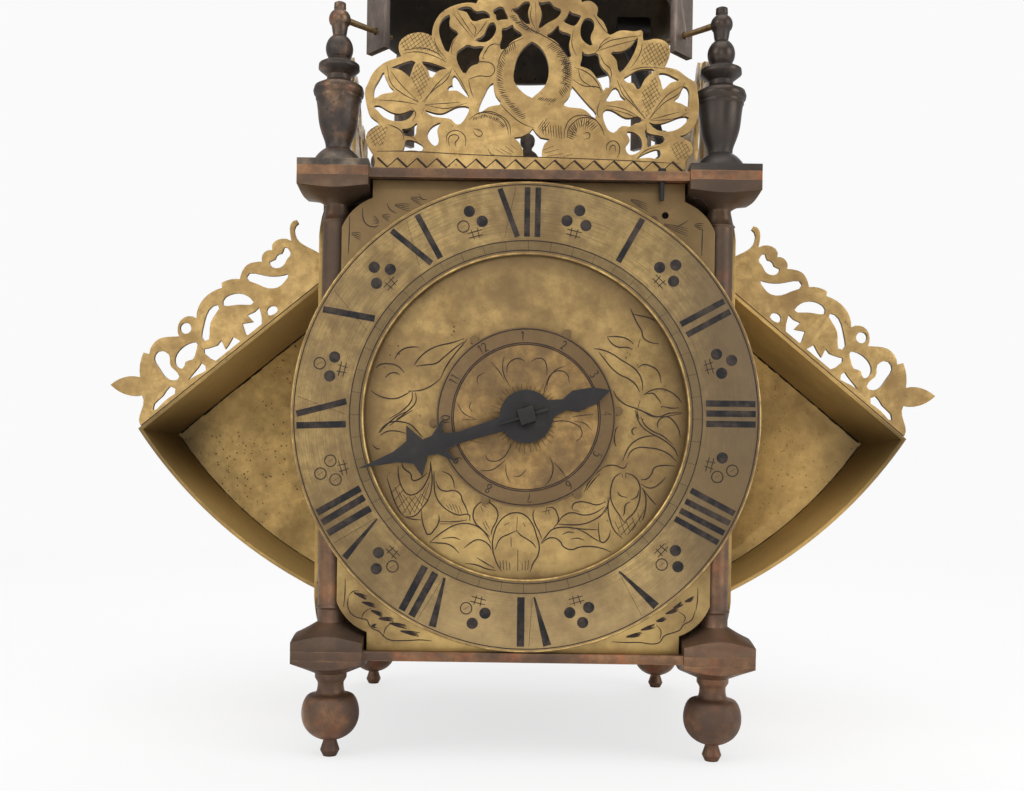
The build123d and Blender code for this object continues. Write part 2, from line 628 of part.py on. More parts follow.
    opening((42.4, 18.6), (44.7, 17.9), (48.2, 18.5), (51.7, 19.9), (54.8, 20.8), (56.5, 20.6),
            (55.3, 18.3), (52.6, 16.2), (49.5, 15.3), (46.4, 15.5), (43.8, 16.8))
    # beside the stems and the snouts
    opening((-45.3, 15), (-43, 15.2), (-41, 16.4), (-40.1, 17.3), (-40.4, 14.8), (-40.6, 12.8),
            (-42.9, 12.3), (-44.9, 13.1))
    opening((-31.7, 17.5), (-33.4, 16.8), (-35.4, 15.3), (-36.4, 12.8), (-35.4, 10.4), (-33.3, 9),
            (-32.4, 10.4), (-32.6, 12.5), (-32.9, 14.5), (-32.3, 16.2))
    opening((-45.2, 7.3), (-44.5, 9.4), (-44.2, 10.7), (-41.7, 10.9), (-39.3, 9.9), (-37.7, 8.3),
            (-38.1, 7.4), (-41.7, 7.4))
    opening((34.7, 15.1), (36.8, 14.9), (38.9, 13.6), (40.1, 11.3), (39.9, 9), (38.1, 7.4), (35.5, 6.9),
            (34.3, 8.5), (34.5, 10.3), (35.7, 12.1))
    opening((41.1, 15.9), (44.3, 14.1), (48.1, 12.8), (47, 10.9), (44.3, 10.5), (41.8, 9.7), (42, 11.8),
            (41.1, 14))
    opening((38.6, 5.8), (40.4, 7), (43, 8.2), (46.3, 8.6), (46.8, 7.1), (46.1, 5.8), (43.5, 5.8),
            (40.9, 5.8))
    # the pointed oval between the bodies, and the gap between the chins
    outlined(
        [(0.4, 46.7), (3.3, 44.7), (5.6, 41.1), (6.5, 36.6), (5.9, 32.5), (5.3, 31.2), (3.1, 28.7)],
        [(0.7, 26.6), (-1.9, 27.9), (-4.7, 30.6), (-5.8, 32.3), (-5.8, 36.8), (-4.8, 40.9), (-2.4, 44.6)],
        mode=Mode.SUBTRACT)
    with BuildLine() as chins:
        Polyline((1.1, 15.8), (2.2, 14.2), (3.8, 12.6), (7.1, 12), (5.3, 10.3), (4.5, 8.1), (4.5, 5.6),
                 (-2.2, 5.5), (-2.3, 8), (-3.7, 10.7), (-5.6, 12.4), (-3.1, 12.7), (-0.2, 14.1), close=True)
    make_face(chins.edges(), mode=Mode.SUBTRACT)

fret_setback = 4.0
front_fret_y = -plate_half + fret_setback
side_fret_x = plate_half - fret_setback

with BuildPart() as front_fret:
    with BuildSketch(facing(front_fret_y + fret_t, roof_z)):
        add(fret_outline.sketch)
    extrude(amount=fret_t)
keep(front_fret, "front_fret")

with BuildPart() as right_fret:
    with BuildSketch(Plane(origin=(side_fret_x - fret_t, 0, roof_z), x_dir=(0, 1, 0), z_dir=(1, 0, 0))):
        add(fret_outline.sketch)
    extrude(amount=fret_t)
keep(right_fret, "right_fret")

with BuildPart() as left_fret:
    mirror(right_fret.part, about=Plane.YZ)
keep(left_fret, "left_fret")

# ---- Side doors with their wings. The right-hand pieces are made and then mirrored

window_bottom = deck_z + 18.2
window_top = verge_z - 60.0

with BuildPart() as right_door:
    with BuildSketch(Plane(origin=(door_inner_x, 0, 0), x_dir=(0, 1, 0), z_dir=(1, 0, 0))):
        notched_outline(-door_front_y, deck_z + 0.4, ceiling_z - 0.4, dial_step)
        mirror(about=Plane.YZ)
        with Locations((hinge_y + 50, (deck_z + ceiling_z) / 2)):
            Rectangle(100, pillar_height + 10, mode=Mode.SUBTRACT)
        with Locations((0, (window_bottom + window_top) / 2)):
            Rectangle(door_window_w, window_top - window_bottom, mode=Mode.SUBTRACT)
    extrude(amount=door_t)
    with BuildSketch(Plane.XY.offset(foot_height)):
        with Locations((hinge_x, hinge_y)):
            Circle(hinge_r)
    extrude(amount=roof_z - foot_height)
keep(right_door, "right_door")

wing_tip_z = verge_z - sqrt(wing_wall_r ** 2 - wing_reach ** 2)
lid_top_z = wing_tip_z + (wing_reach - door_outer_x) * tan(radians(lid_slope))
wing_front_y = -wing_depth / 2


def wing_outline(radius, lid_drop):
    """The wing seen from the front: a wall struck from the verge, and the sloping lid."""
    slope = tan(radians(lid_slope))
    lid_z = lid_top_z - lid_drop
    over = lid_z + door_outer_x * slope - verge_z
    steep = 1 + slope ** 2
    tip_x = (slope * over + sqrt((slope * over) ** 2 - steep * (over ** 2 - radius ** 2))) / steep
    tip = (tip_x, lid_z - (tip_x - door_outer_x) * slope)
    low = (door_outer_x, verge_z - sqrt(radius ** 2 - door_outer_x ** 2))
    middle = (atan2(tip[1] - verge_z, tip[0]) + atan2(low[1] - verge_z, low[0])) / 2
    with BuildLine() as outline:
        ThreePointArc(low, (radius * cos(middle), verge_z + radius * sin(middle)), tip)
        Polyline(tip, (door_outer_x, lid_z), low)
    make_face(outline.edges())


with BuildPart() as right_wing:
    with BuildSketch(facing(-wing_front_y)):
        wing_outline(wing_wall_r, 0)
    extrude(amount=wing_depth)
    with BuildSketch(facing(-wing_front_y - sheet)):
        wing_outline(wing_wall_r - sheet, sheet / cos(radians(lid_slope)))
    extrude(amount=wing_depth, mode=Mode.SUBTRACT)
keep(right_wing, "right_wing")

lid = Plane(origin=(wing_reach, wing_front_y, wing_tip_z), z_dir=(0, 1, 0),
            x_dir=(-cos(radians(lid_slope)), 0, sin(radians(lid_slope))))
lid_length = (wing_reach - door_outer_x) / cos(radians(lid_slope))
wing_fret_t = 1.6
drawn_length = 105.0

# drawn with x along the lid from its tip, and y standing away from it
with BuildSketch() as wing_fret_outline:
    outlined(
        # leaves over the tip
        [(1.5, 0.3), (2.4, 2.4), (5.5, 4.8)],
        [(9.9, 9.8), (6.0, 12.6), (3.4, 17.0)],
        [(2.4, 21.3), (6.2, 21.0), (11.0, 19.0)],
        [(14.0, 16.1), (16.6, 19.6)],
        [(21.5, 23.2)],
        # outer scroll and the ring behind it
        [(23.0, 21.2), (26.4, 23.4), (30.0, 23.6), (33.8, 21.7)],
        [(37.2, 19.2), (38.2, 21.4), (42.7, 24.1), (45.8, 23.1)],
        # main stem
        [(47.6, 20.6), (50.2, 23.1), (55.0, 25.0), (59.7, 25.0)],
        [(63.8, 23.8)],
        [(64.9, 25.5), (69.1, 24.1)],
        # ribbon and the knuckles over it
        [(71.8, 22.0), (74.4, 23.8), (77.8, 24.7), (81.0, 23.6)],
        [(83.6, 21.9), (85.9, 24.1), (88.2, 24.1)],
        [(89.8, 23.0), (91.9, 25.0), (94.9, 24.7)],
        # curled head beside the pillar
        [(98.4, 21.0), (100.4, 24.4), (103.5, 26.9), (105.7, 26.3), (105.6, 24.9), (103.6, 24.6), (101.8, 23.0),
         (100.8, 20.0), (101.6, 16.0)],
        [(104.5, 9.0)],
        [(104.5, 0.3)],
    )
    # round the tip leaves and the outer scroll
    opening((9.6, 2.2), (11.4, 3.7), (17.2, 4.3), (21.5, 5.2), (22.4, 2.6), (16.0, 2.0))
    opening((28.8, 17.5), (25.3, 19.7), (23.4, 18.5), (22.6, 14.4), (22.2, 10.0), (23.5, 6.8), (26.4, 5.6), (27.2, 8.4),
            (26.8, 12.1), (28.7, 14.6))
    opening((41.2, 13.0), (38.3, 14.4), (34.5, 14.7), (30.7, 13.5), (29.0, 11.5), (28.9, 9.0), (30.4, 7.7), (32.8, 9.3),
            (35.1, 8.3), (38.8, 9.9))
    with Locations((41.5, 20.1)):
        Circle(2.3, mode=Mode.SUBTRACT)
    opening((37.5, 4.8), (33.4, 3.7), (28.4, 2.6), (33.0, 2.0), (38.0, 2.0))
    # round the hanging tulip leaf
    with BuildLine():
        Polyline((55.8, 1.7), (54.6, 5.0), (51.4, 3.7), (48.9, 3.0), (49.9, 7.0), (47.2, 6.4), (43.5, 7.8), (42.0, 8.6),
                 (41.0, 7.2), (41.6, 4.0), (42.8, 1.7), (55.8, 1.7))
    make_face(mode=Mode.SUBTRACT)
    with BuildLine():
        Polyline((70.8, 7.8), (67.9, 7.6), (64.9, 8.4), (65.1, 4.6), (61.0, 6.9), (59.4, 2.8), (59.8, 1.7), (67.2, 1.7),
                 (69.0, 4.0), (70.8, 7.8))
    make_face(mode=Mode.SUBTRACT)
    opening((70.2, 10.8), (70.0, 14.1), (68.1, 17.4), (64.5, 19.5), (61.2, 19.6), (59.6, 18.3), (63.2, 15.0),
            (66.5, 12.6))
    opening((58.1, 19.4), (55.0, 20.3), (50.7, 18.5), (46.6, 15.3), (44.0, 11.8), (44.8, 10.3), (48.3, 12.7),
            (53.3, 16.5))
    # curl on the lid, and the two openings of the head
    opening((71.6, 3.4), (73.2, 5.2), (75.8, 4.6), (76.4, 2.4), (73.0, 1.9))
    opening((95.3, 18.6), (94.6, 20.8), (91.9, 19.4), (90.4, 20.2), (88.4, 19.2), (85.9, 19.9), (85.4, 17.7),
            (86.9, 15.7), (89.7, 15.1), (92.8, 16.3))
    opening((89.0, 11.1), (85.7, 12.6), (81.7, 15.7), (78.5, 19.6), (75.4, 21.5), (74.2, 20.4), (75.6, 16.9),
            (78.9, 11.3), (82.0, 9.4), (85.6, 9.5))

with BuildPart() as right_wing_fret:
    with BuildSketch(lid):
        add(scale(wing_fret_outline.sketch, by=lid_length / drawn_length))
    extrude(amount=wing_fret_t)
    with BuildSketch(facing(0, 150, door_outer_x - 50)):
        Rectangle(100, 300)
    extrude(amount=100, both=True, mode=Mode.SUBTRACT)
keep(right_wing_fret, "right_wing_fret")

for name, piece in (("door", right_door), ("wing", right_wing), ("wing_fret", right_wing_fret)):
    with BuildPart() as mirrored:
        mirror(piece.part, about=Plane.YZ)
    keep(mirrored, f"left_{name}")

# ---- Movement bars with their tenons, wedges and bearings

potence_z = crown_mesh_z - 8.5
potence_t = 2.6


def bearing(y, z, radius=pivot_r):
    on_axis(radius + run_gap, y - bar_t, y + bar_t, z, 0, Mode.SUBTRACT)


def upright(y):
    """A movement bar: its tenons pass through both plates."""
    slab(bar_w, y - bar_t / 2, y + bar_t / 2, deck_z, ceiling_z)
    slab(bar_tenon_w, y - bar_t / 2, y + bar_t / 2, foot_height - 1, roof_z + tenon_rise)
    slab(wedge_t * 5, y - wedge_t / 2 - joint_gap, y + wedge_t / 2 + joint_gap, roof_z, roof_z + 4.0, 0,
         Mode.SUBTRACT)


with BuildPart() as front_bar:
    upright(going_front_y)
    for z, radius in ((great_z, arbor_r), (dial_z, arbor_r), (second_z, pivot_r), (contrate_z, pivot_r)):
        bearing(going_front_y, z, radius)
keep(front_bar, "front_bar")

with BuildPart() as going_rear_bar:
    upright(going_rear_y)
    slab(8, crown_y - 4, going_rear_y, potence_z - potence_t, potence_z)
    slab(8, going_rear_y - 8, going_rear_y, potence_z - 9, potence_z)
    for z in (great_z, second_z, contrate_z):
        bearing(going_rear_y, z)
    with BuildSketch(Plane.XY.offset(potence_z)):
        with Locations((0, crown_y)):
            Circle(pivot_r + run_gap)
    extrude(amount=-potence_t, mode=Mode.SUBTRACT)
keep(going_rear_bar, "going_rear_bar")

with BuildPart() as strike_front_bar:
    upright(strike_front_y)
    for z in (great_z, hoop_z, warning_z, fly_z):
        bearing(strike_front_y, z)
keep(strike_front_bar, "strike_front_bar")

count_stud_end = 66.5

with BuildPart() as rear_bar:
    upright(strike_rear_y)
    bearing(strike_rear_y, great_z, arbor_r)
    for z in (hoop_z, warning_z, fly_z):
        bearing(strike_rear_y, z)
    on_axis(2.0, strike_rear_y, count_stud_end, count_z)
keep(rear_bar, "rear_bar")

with BuildPart() as bar_wedges:
    for y in (going_front_y, going_rear_y, strike_front_y, strike_rear_y):
        with BuildSketch(facing(y + wedge_t / 2, roof_z)):
            with BuildLine():
                Polyline((-9, 0), (9, 0), (9, 2.6), (-9, 3.9), (-9, 0))
            make_face()
        extrude(amount=wedge_t)
keep(bar_wedges, "bar_wedges")

# ---- Wheels. Every flank is flat, and the backlash is that of filed teeth


def tooth_ring(teeth, module, first, is_pinion):
    """A toothed outline. first is the angle of one tooth's middle."""
    pitch_r = teeth * module / 2
    tip_r = pitch_r + module * (0.62 if is_pinion else 0.8)
    root_r = pitch_r - module * (1.15 if is_pinion else 1.0)
    pitch = 2 * pi / teeth
    root_half = pitch * (0.20 if is_pinion else 0.24)
    tip_half = pitch * (0.11 if is_pinion else 0.10)
    points = []
    for n in range(teeth):
        middle = radians(first) + n * pitch
        for radius, turn in ((root_r, -root_half), (tip_r, -tip_half), (tip_r, tip_half), (root_r, root_half)):
            points.append((radius * cos(middle + turn), radius * sin(middle + turn)))
    Polygon(*points, align=None)


def crossings(count, hub, rim, spoke):
    """The openings between a wheel's spokes."""
    half = pi / count
    points = []
    for radius, turn in ((hub, -0.32), (rim, -0.5), (rim, 0.0), (rim, 0.5), (hub, 0.32)):
        angle = turn * 2 * half
        inset = asin(min(1.0, spoke / 2 / radius))
        if turn:
            angle = (half - inset) * (1 if turn > 0 else -1) * (1.0 if abs(turn) == 0.5 else 0.9)
        points.append((radius * cos(angle), radius * sin(angle)))
    with PolarLocations(0, count, start_angle=45):
        Polygon(*points, align=None, mode=Mode.SUBTRACT)


def wheel(rear_y, z, teeth, module, first=90.0, thickness=wheel_t, spokes=4):
    root_r = (teeth / 2 - 1.0) * module
    with BuildSketch(facing(rear_y, z)) as outline:
        tooth_ring(teeth, module, first, False)
        crossings(spokes, max(root_r * 0.3, 6.0), root_r - 3.2, 4.2)
    extrude(outline.sketch, amount=thickness)


def pinion(front_y, rear_y, z, leaves, module, first):
    with BuildSketch(facing(rear_y, z)) as outline:
        tooth_ring(leaves, module, first, True)
    extrude(outline.sketch, amount=rear_y - front_y)


def arbor(front_bar_y, rear_bar_y, z):
    """An arbor with its shoulders just inside the bars and a pivot in each."""
    shoulder = bar_t / 2 + 0.3
    on_axis(arbor_r, front_bar_y + shoulder, rear_bar_y - shoulder, z)
    on_axis(pivot_r, front_bar_y - bar_t / 2 - 0.4, rear_bar_y + bar_t / 2 + 0.4, z)


def meshed_below(leaves):
    """The angle that puts a gap of an upper pinion over the tooth of the wheel below it."""
    return -90.0 + 180.0 / leaves


great_wheel_y = -21.0
sprocket_r = 19.0
spike = 4.0

with BuildPart() as great_wheel:
    wheel(great_wheel_y, great_z, great_teeth, great_module)
    arbor(going_front_y, going_rear_y, great_z)
    on_axis(arbor_r, -57.4, going_rear_y - bar_t, great_z)
    pinion(-61.4, -57.4, great_z, report_leaves, hour_module, 90.0 + 180.0 / report_leaves)
    on_axis(6.5, great_wheel_y - wheel_t - 2, great_wheel_y, great_z)
keep(great_wheel, "great_wheel")


def sprocket(front_y, rear_y, z):
    """A spiked rope pulley between two cheeks."""
    middle = (front_y + rear_y) / 2
    for cheek_y in (front_y + 1.4, rear_y):
        on_axis(sprocket_r + 1.5, cheek_y - 1.4, cheek_y, z)
    on_axis(sprocket_r - 3, front_y, rear_y, z)
    with BuildSketch(facing(middle + 1, z)) as spikes:
        with PolarLocations(sprocket_r - 4, 12):
            Polygon((0, -1.6), (spike + 3, 0), (0, 1.6), align=None)
    extrude(spikes.sketch, amount=2)
    on_axis(arbor_r + run_gap, front_y, rear_y, z, 0, Mode.SUBTRACT)


with BuildPart() as going_sprocket:
    sprocket(-38.5, -26.6, great_z)
keep(going_sprocket, "going_sprocket")

with BuildPart() as second_wheel:
    wheel(-43.1, second_z, second_teeth, second_module)
    pinion(-26.5, -18.5, second_z, second_leaves, great_module, meshed_below(second_leaves))
    arbor(going_front_y, going_rear_y, second_z)
keep(second_wheel, "second_wheel")

crown_pinion_r = crown_leaves / 2 * contrate_module
contrate_tip_y = crown_y - crown_pinion_r + 0.75 * contrate_module
contrate_root_y = contrate_tip_y - 1.9 * contrate_module
contrate_web_y = contrate_root_y - 3.2
contrate_band = 2.4

with BuildPart() as contrate_wheel:
    with BuildSketch(facing(contrate_web_y, contrate_z)):
        RegularPolygon(contrate_r + contrate_band / 2, contrate_teeth)
        crossings(4, 7.0, contrate_r - contrate_band / 2, 4.0)
    extrude(amount=1.6)
    with BuildSketch(facing(contrate_root_y, contrate_z)):
        RegularPolygon(contrate_r + contrate_band / 2, contrate_teeth)
        RegularPolygon(contrate_r - contrate_band / 2, contrate_teeth, mode=Mode.SUBTRACT)
    extrude(amount=contrate_root_y - contrate_web_y)
    tooth_pitch = pi * contrate_module
    with BuildPart(mode=Mode.PRIVATE) as axial_tooth:
        with BuildSketch(Plane.XY.offset(contrate_r - contrate_band / 2 + 0.2)):
            with BuildLine():
                Polyline((-tooth_pitch * 0.22, 0), (tooth_pitch * 0.22, 0),
                         (tooth_pitch * 0.09, 1.9 * contrate_module),
                         (-tooth_pitch * 0.09, 1.9 * contrate_module), (-tooth_pitch * 0.22, 0))
            make_face()
        extrude(amount=contrate_band - 0.4)
    for n in range(contrate_teeth):
        with Locations(Location((0, contrate_root_y, contrate_z), (0, n * 360 / contrate_teeth, 0))):
            add(axial_tooth.part)
    pinion(-47.3, -40.3, contrate_z, contrate_leaves, second_module, meshed_below(contrate_leaves))
    arbor(going_front_y, going_rear_y, contrate_z)
keep(contrate_wheel, "contrate_wheel")

crown_base_z = roof_z + 1.2
crown_web_t = 1.6
crown_tip_z = verge_z - 4.4
crown_notch = 2.6
crown_phase = 9.8
crown_band = 1.7

with BuildPart() as crown_wheel:
    with BuildSketch(Plane(origin=(0, crown_y, crown_base_z))):
        RegularPolygon(crown_r, 2 * crown_teeth)
    extrude(amount=crown_tip_z - crown_base_z)
    with BuildSketch(Plane(origin=(0, crown_y, crown_base_z + crown_web_t))):
        RegularPolygon(crown_r - crown_band, 2 * crown_teeth)
    extrude(amount=crown_tip_z - crown_base_z, mode=Mode.SUBTRACT)
    # each notch has one upright and one sloping side
    notch_width = 2 * pi * crown_r / crown_teeth - 0.7
    for n in range(crown_teeth):
        turn = radians(n * 360 / crown_teeth + crown_phase)
        with BuildSketch(Plane(origin=(0, crown_y, crown_tip_z), x_dir=(-sin(turn), cos(turn), 0),
                               z_dir=(cos(turn), sin(turn), 0))):
            with BuildLine():
                Polyline((0.35, 1), (0.35, -crown_notch), (2.6, -crown_notch), (0.35 + notch_width, 0.0),
                         (0.35 + notch_width, 1), (0.35, 1))
            make_face()
        extrude(amount=crown_r * 1.2, mode=Mode.SUBTRACT)
    with BuildSketch(Plane(origin=(0, crown_y, potence_z + 2.6))):
        tooth_ring(crown_leaves, contrate_module, -90.0 + 180.0 / crown_leaves, True)
    extrude(amount=9.0)
    for radius, bottom, top in ((pivot_r, potence_z - potence_t - 0.3, crown_base_z),
                                (crown_arbor_r, potence_z + 0.3, crown_base_z), (3.4, roof_z + 0.3, crown_base_z + 3)):
        with BuildSketch(Plane(origin=(0, crown_y, bottom))):
            Circle(radius)
        extrude(amount=top - bottom)
keep(crown_wheel, "crown_wheel")

# ---- Verge, cocks, pendulum

cock_t = 3.0
pallet_reach = 5.4
pallet_lean = 50.0

for name, y, foot_y in (("front", front_cock_y, front_cock_y), ("rear", rear_cock_y, rear_cock_y)):
    with BuildPart() as verge_cock:
        slab(26, foot_y - 2.4, foot_y + 2.4, roof_z, roof_z + 2.2)
        slab(9, y - cock_t / 2, y + cock_t / 2, roof_z, verge_z)
        on_axis(4.5, y - cock_t / 2, y + cock_t / 2, verge_z)
        slab(3.4, y - cock_t / 2, y + cock_t / 2, verge_z, verge_z + 7)
        on_axis(2.8, y - cock_t / 2, y + cock_t / 2, verge_z + 8.0)
        on_axis(verge_r + run_gap, y - 5, y + 5, verge_z, 0, Mode.SUBTRACT)
    keep(verge_cock, f"verge_cock_{name}")

verge_boss = (6.0, 7.0)

with BuildPart() as verge:
    on_axis(verge_r, front_cock_y - cock_t / 2 - 0.6, pendulum_y + 4.2, verge_z)
    for y, lean in ((crown_y - crown_r + crown_band / 2, pallet_lean),
                    (crown_y + crown_r - crown_band / 2, -pallet_lean)):
        with BuildSketch(Plane(origin=(0, y + 1.5, verge_z), z_dir=(0, -1, 0),
                               x_dir=(sin(radians(lean)), 0, -cos(radians(lean))))):
            with Locations((pallet_reach / 2, 0)):
                Rectangle(pallet_reach, 0.8)
        extrude(amount=3.0)
    slab(verge_boss[0], pendulum_y - 2.2, pendulum_y + 2.2, verge_z - verge_boss[1] / 2, verge_z + verge_boss[1] / 2)
    with BuildSketch(Plane(origin=(0, pendulum_y, verge_z - 10))):
        Circle(rod_r + joint_gap)
    extrude(amount=8, mode=Mode.SUBTRACT)
keep(verge, "verge")

bob_depth = 30.0

with BuildPart() as pendulum_rod:
    with BuildSketch(Plane(origin=(0, pendulum_y, verge_z - bob_r + 4))):
        Circle(rod_r)
    extrude(amount=bob_r - 6.2)
keep(pendulum_rod, "pendulum_rod")

with BuildPart() as pendulum_bob:
    with BuildSketch(facing(pendulum_y + bob_t / 2, verge_z)):
        with BuildLine():
            fluke = radians(bob_half_angle)
            tip = (bob_r * sin(fluke), -bob_r * cos(fluke))
            crown_low = ThreePointArc((0, -bob_r), (bob_r * sin(fluke / 2), -bob_r * cos(fluke / 2)), tip)
            barb = Polyline(tip, (tip[0] + 2, tip[1] + 13), (tip[0] - 6, tip[1] + 7.5))
            arm = ThreePointArc(barb @ 1, (11, -bob_r + 8.5), (3.2, -bob_r + 12))
            Polyline(arm @ 1, (3.2, -bob_r + bob_depth), (0, -bob_r + bob_depth), (0, -bob_r))
        make_face()
        mirror(about=Plane.YZ)
    extrude(amount=bob_t)
    with BuildSketch(Plane(origin=(0, pendulum_y, verge_z - bob_r + 3.9))):
        Circle(rod_r + joint_gap)
    extrude(amount=bob_depth, mode=Mode.SUBTRACT)
keep(pendulum_bob, "pendulum_bob")

# ---- Hour wheel, its arbor, and the pin in front of the hand

hour_wheel_y = -58.2
star_points = 12
star_r = 11.0
star_t = 2.4

with BuildPart() as hour_wheel:
    wheel(hour_wheel_y, dial_z, hour_teeth, hour_module, -90.0)
    on_axis(arbor_r, going_front_y - bar_t / 2 - 0.3 - 4, going_front_y + bar_t / 2 + 0.4, dial_z)
    on_axis(3.2, dial_front_y - 0.3, going_front_y - bar_t / 2 - 0.4, dial_z)
    on_axis(disc_seat_r, hand_back_y, dial_front_y - 0.3, dial_z)
    with BuildSketch(facing(hour_wheel_y + star_t, dial_z)):
        points = []
        for n in range(2 * star_points):
            angle = pi * n / star_points
            radius = star_r if n % 2 == 0 else star_r - 4
            points.append((radius * cos(angle), radius * sin(angle)))
        Polygon(*points, align=None)
    extrude(amount=star_t)
    hand_square_plane = Plane(origin=(0, hand_back_y, dial_z), z_dir=(0, -1, 0),
                              x_dir=(cos(radians(hand_angle)), 0, sin(radians(hand_angle))))
    with BuildSketch(hand_square_plane):
        Rectangle(hand_square, hand_square)
    extrude(amount=hand_back_y - arbor_end_y)
    with BuildSketch(Plane(origin=(0, hand_back_y - hand_t - 1.3, dial_z), z_dir=hand_square_plane.x_dir)):
        Circle(0.9)
    extrude(amount=10, both=True, mode=Mode.SUBTRACT)
keep(hour_wheel, "hour_wheel")

with BuildPart() as hand_pin:
    pin_plane = Plane(origin=(0, hand_back_y - hand_t - 1.3, dial_z), z_dir=hand_square_plane.x_dir)
    with BuildSketch(pin_plane.offset(-8)):
        Circle(0.8)
    extrude(amount=18, taper=1.2)
keep(hand_pin, "hand_pin")

# ---- Strike train

strike_wheel_y = 26.4
hammer_pin_front_y = 19.6

with BuildPart() as strike_wheel:
    wheel(strike_wheel_y, great_z, strike_teeth, strike_module)
    arbor(strike_front_y, strike_rear_y, great_z)
    on_axis(arbor_r, strike_rear_y - bar_t, 60.0, great_z)
    pinion(60.0, 62.8, great_z, report_leaves, count_module, 90.0 + 180.0 / report_leaves)
    on_axis(6.5, strike_wheel_y - wheel_t, strike_wheel_y + 1.5, great_z)
    with BuildSketch(facing(strike_wheel_y - wheel_t, great_z)):
        with PolarLocations(pin_circle_r, hammer_pins):
            Circle(1.3)
    extrude(amount=strike_wheel_y - wheel_t - hammer_pin_front_y)
keep(strike_wheel, "strike_wheel")

with BuildPart() as strike_sprocket:
    sprocket(28.2, 40.1, great_z)
keep(strike_sprocket, "strike_sprocket")

hoop_r = 18.0
hoop_wheel_y = 46.0

with BuildPart() as hoop_wheel:
    wheel(hoop_wheel_y, hoop_z, hoop_teeth, hoop_module)
    pinion(22.0, 29.0, hoop_z, hoop_leaves, strike_module, meshed_below(hoop_leaves))
    arbor(strike_front_y, strike_rear_y, hoop_z)
    with BuildSketch(facing(hoop_wheel_y + 4.0, hoop_z)):
        Circle(hoop_r)
        Circle(hoop_r - 1.6, mode=Mode.SUBTRACT)
        with Locations(Location((hoop_r * cos(radians(135)), hoop_r * sin(radians(135))), 45)):
            Rectangle(9, 9, mode=Mode.SUBTRACT)
    extrude(amount=4.0 + wheel_t)
keep(hoop_wheel, "hoop_wheel")

warning_wheel_y = 36.0

with BuildPart() as warning_wheel:
    wheel(warning_wheel_y, warning_z, warning_teeth, warning_module)
    pinion(41.5, 48.5, warning_z, warning_leaves, hoop_module, meshed_below(warning_leaves))
    arbor(strike_front_y, strike_rear_y, warning_z)
keep(warning_wheel, "warning_wheel")

fly_vane = (22.0, 10.0)

with BuildPart() as fly:
    pinion(31.5, 38.0, fly_z, fly_leaves, warning_module, meshed_below(fly_leaves))
    arbor(strike_front_y, strike_rear_y, fly_z)
    slab(fly_vane[0], 40.0, 40.0 + fly_vane[1], fly_z - 0.5, fly_z + 0.5)
    on_axis(3.0, 39.4, 50.6, fly_z)
keep(fly, "fly")

blows = (1, 2, 3, 4, 5, 6, 7, 8, 9, 10, 11, 12)
count_wheel_y = 64.8

with BuildPart() as count_wheel:
    with BuildSketch(facing(count_wheel_y, count_z)):
        Circle(count_rim_r)
        crossings(4, 8.0, count_rim_r - 9.0, 5.0)
        turned = 0.0
        for blow in blows:
            turned += blow * 360.0 / sum(blows)
            notch = (count_rim_r * cos(radians(turned)), count_rim_r * sin(radians(turned)))
            with Locations(Location(notch, turned)):
                Rectangle(6.0, 2.4, mode=Mode.SUBTRACT)
    extrude(amount=1.6)
    wheel(count_wheel_y - 1.6, count_z, count_teeth, count_module, -90.0, 2.4)
    on_axis(2.0 + run_gap, 50.0, 70.0, count_z, 0, Mode.SUBTRACT)
keep(count_wheel, "count_wheel")

# ---- Side levers: arbors pivoted between the pillars

lever_r = 2.4
lever_shoulder = post - shaft_r - 0.5


def lever_arbor(x, z):
    on_axis(lever_r, -lever_shoulder, lever_shoulder, z, x)
    on_axis(pivot_r, -post + 1.0, post - 1.0, z, x)


def lever_arm(start, end, front_y, rear_y, width):
    """A flat arm from an arbor to its working end, seen from the front."""
    length = hypot(end[0] - start[0], end[1] - start[1])
    with BuildSketch(Plane(origin=(start[0], rear_y, start[1]), z_dir=(0, -1, 0),
                           x_dir=(end[0] - start[0], 0, end[1] - start[1]))) as arm:
        with Locations((length / 2, 0)):
            Rectangle(length, width)
        Circle(lever_r + 1.8)
    extrude(arm.sketch, amount=rear_y - front_y)


hammer_z = 165.0
hammer_head_z = 297.0
hammer_head_x = 47.5
hammer_tip_angle = radians(35)
pin_clear = 2.2

with BuildPart() as hammer:
    lever_arbor(post, hammer_z)
    tail_r = pin_circle_r + pin_clear
    lever_arm((post, hammer_z), (tail_r * cos(hammer_tip_angle), great_z + tail_r * sin(hammer_tip_angle)),
              20.0, 22.4, 4.0)
    with BuildSketch(facing(hammer_y + 2, 0)):
        with BuildLine():
            low = Line((post, hammer_z), (post - 4, roof_z + 4))
            bend = ThreePointArc(low @ 1, (hammer_head_x + 11, 250), (hammer_head_x - 3, hammer_head_z - 8))
            Line(bend @ 1, (hammer_head_x - 3, hammer_head_z + 3))
        trace(line_width=3.6)
    extrude(amount=4)
    with BuildSketch(Plane(origin=(hammer_head_x - 8, hammer_y, hammer_head_z), z_dir=(1, 0, 0))):
        Circle(5.0)
    extrude(amount=14)
    lever_arm((post, hammer_z), (post - 7, hammer_z + 10), 28.0, 34.0, 4.0)
keep(hammer, "hammer")

with BuildPart() as hammer_spring:
    with BuildSketch(facing(34.0, 0)):
        with BuildLine():
            foot_bend = Polyline((post - 18, deck_z + 0.6), (post - 8, deck_z + 0.6))
            Spline(foot_bend @ 1, (post - 11.6, deck_z + 60), (post - 11, hammer_z + 11),
                   tangents=((0.3, 1), (0, 1)))
        trace(line_width=1.2)
    extrude(amount=6)
keep(hammer_spring, "hammer_spring")

lifting_z = 150.0
locking_z = 182.0
lever_clear = 0.5

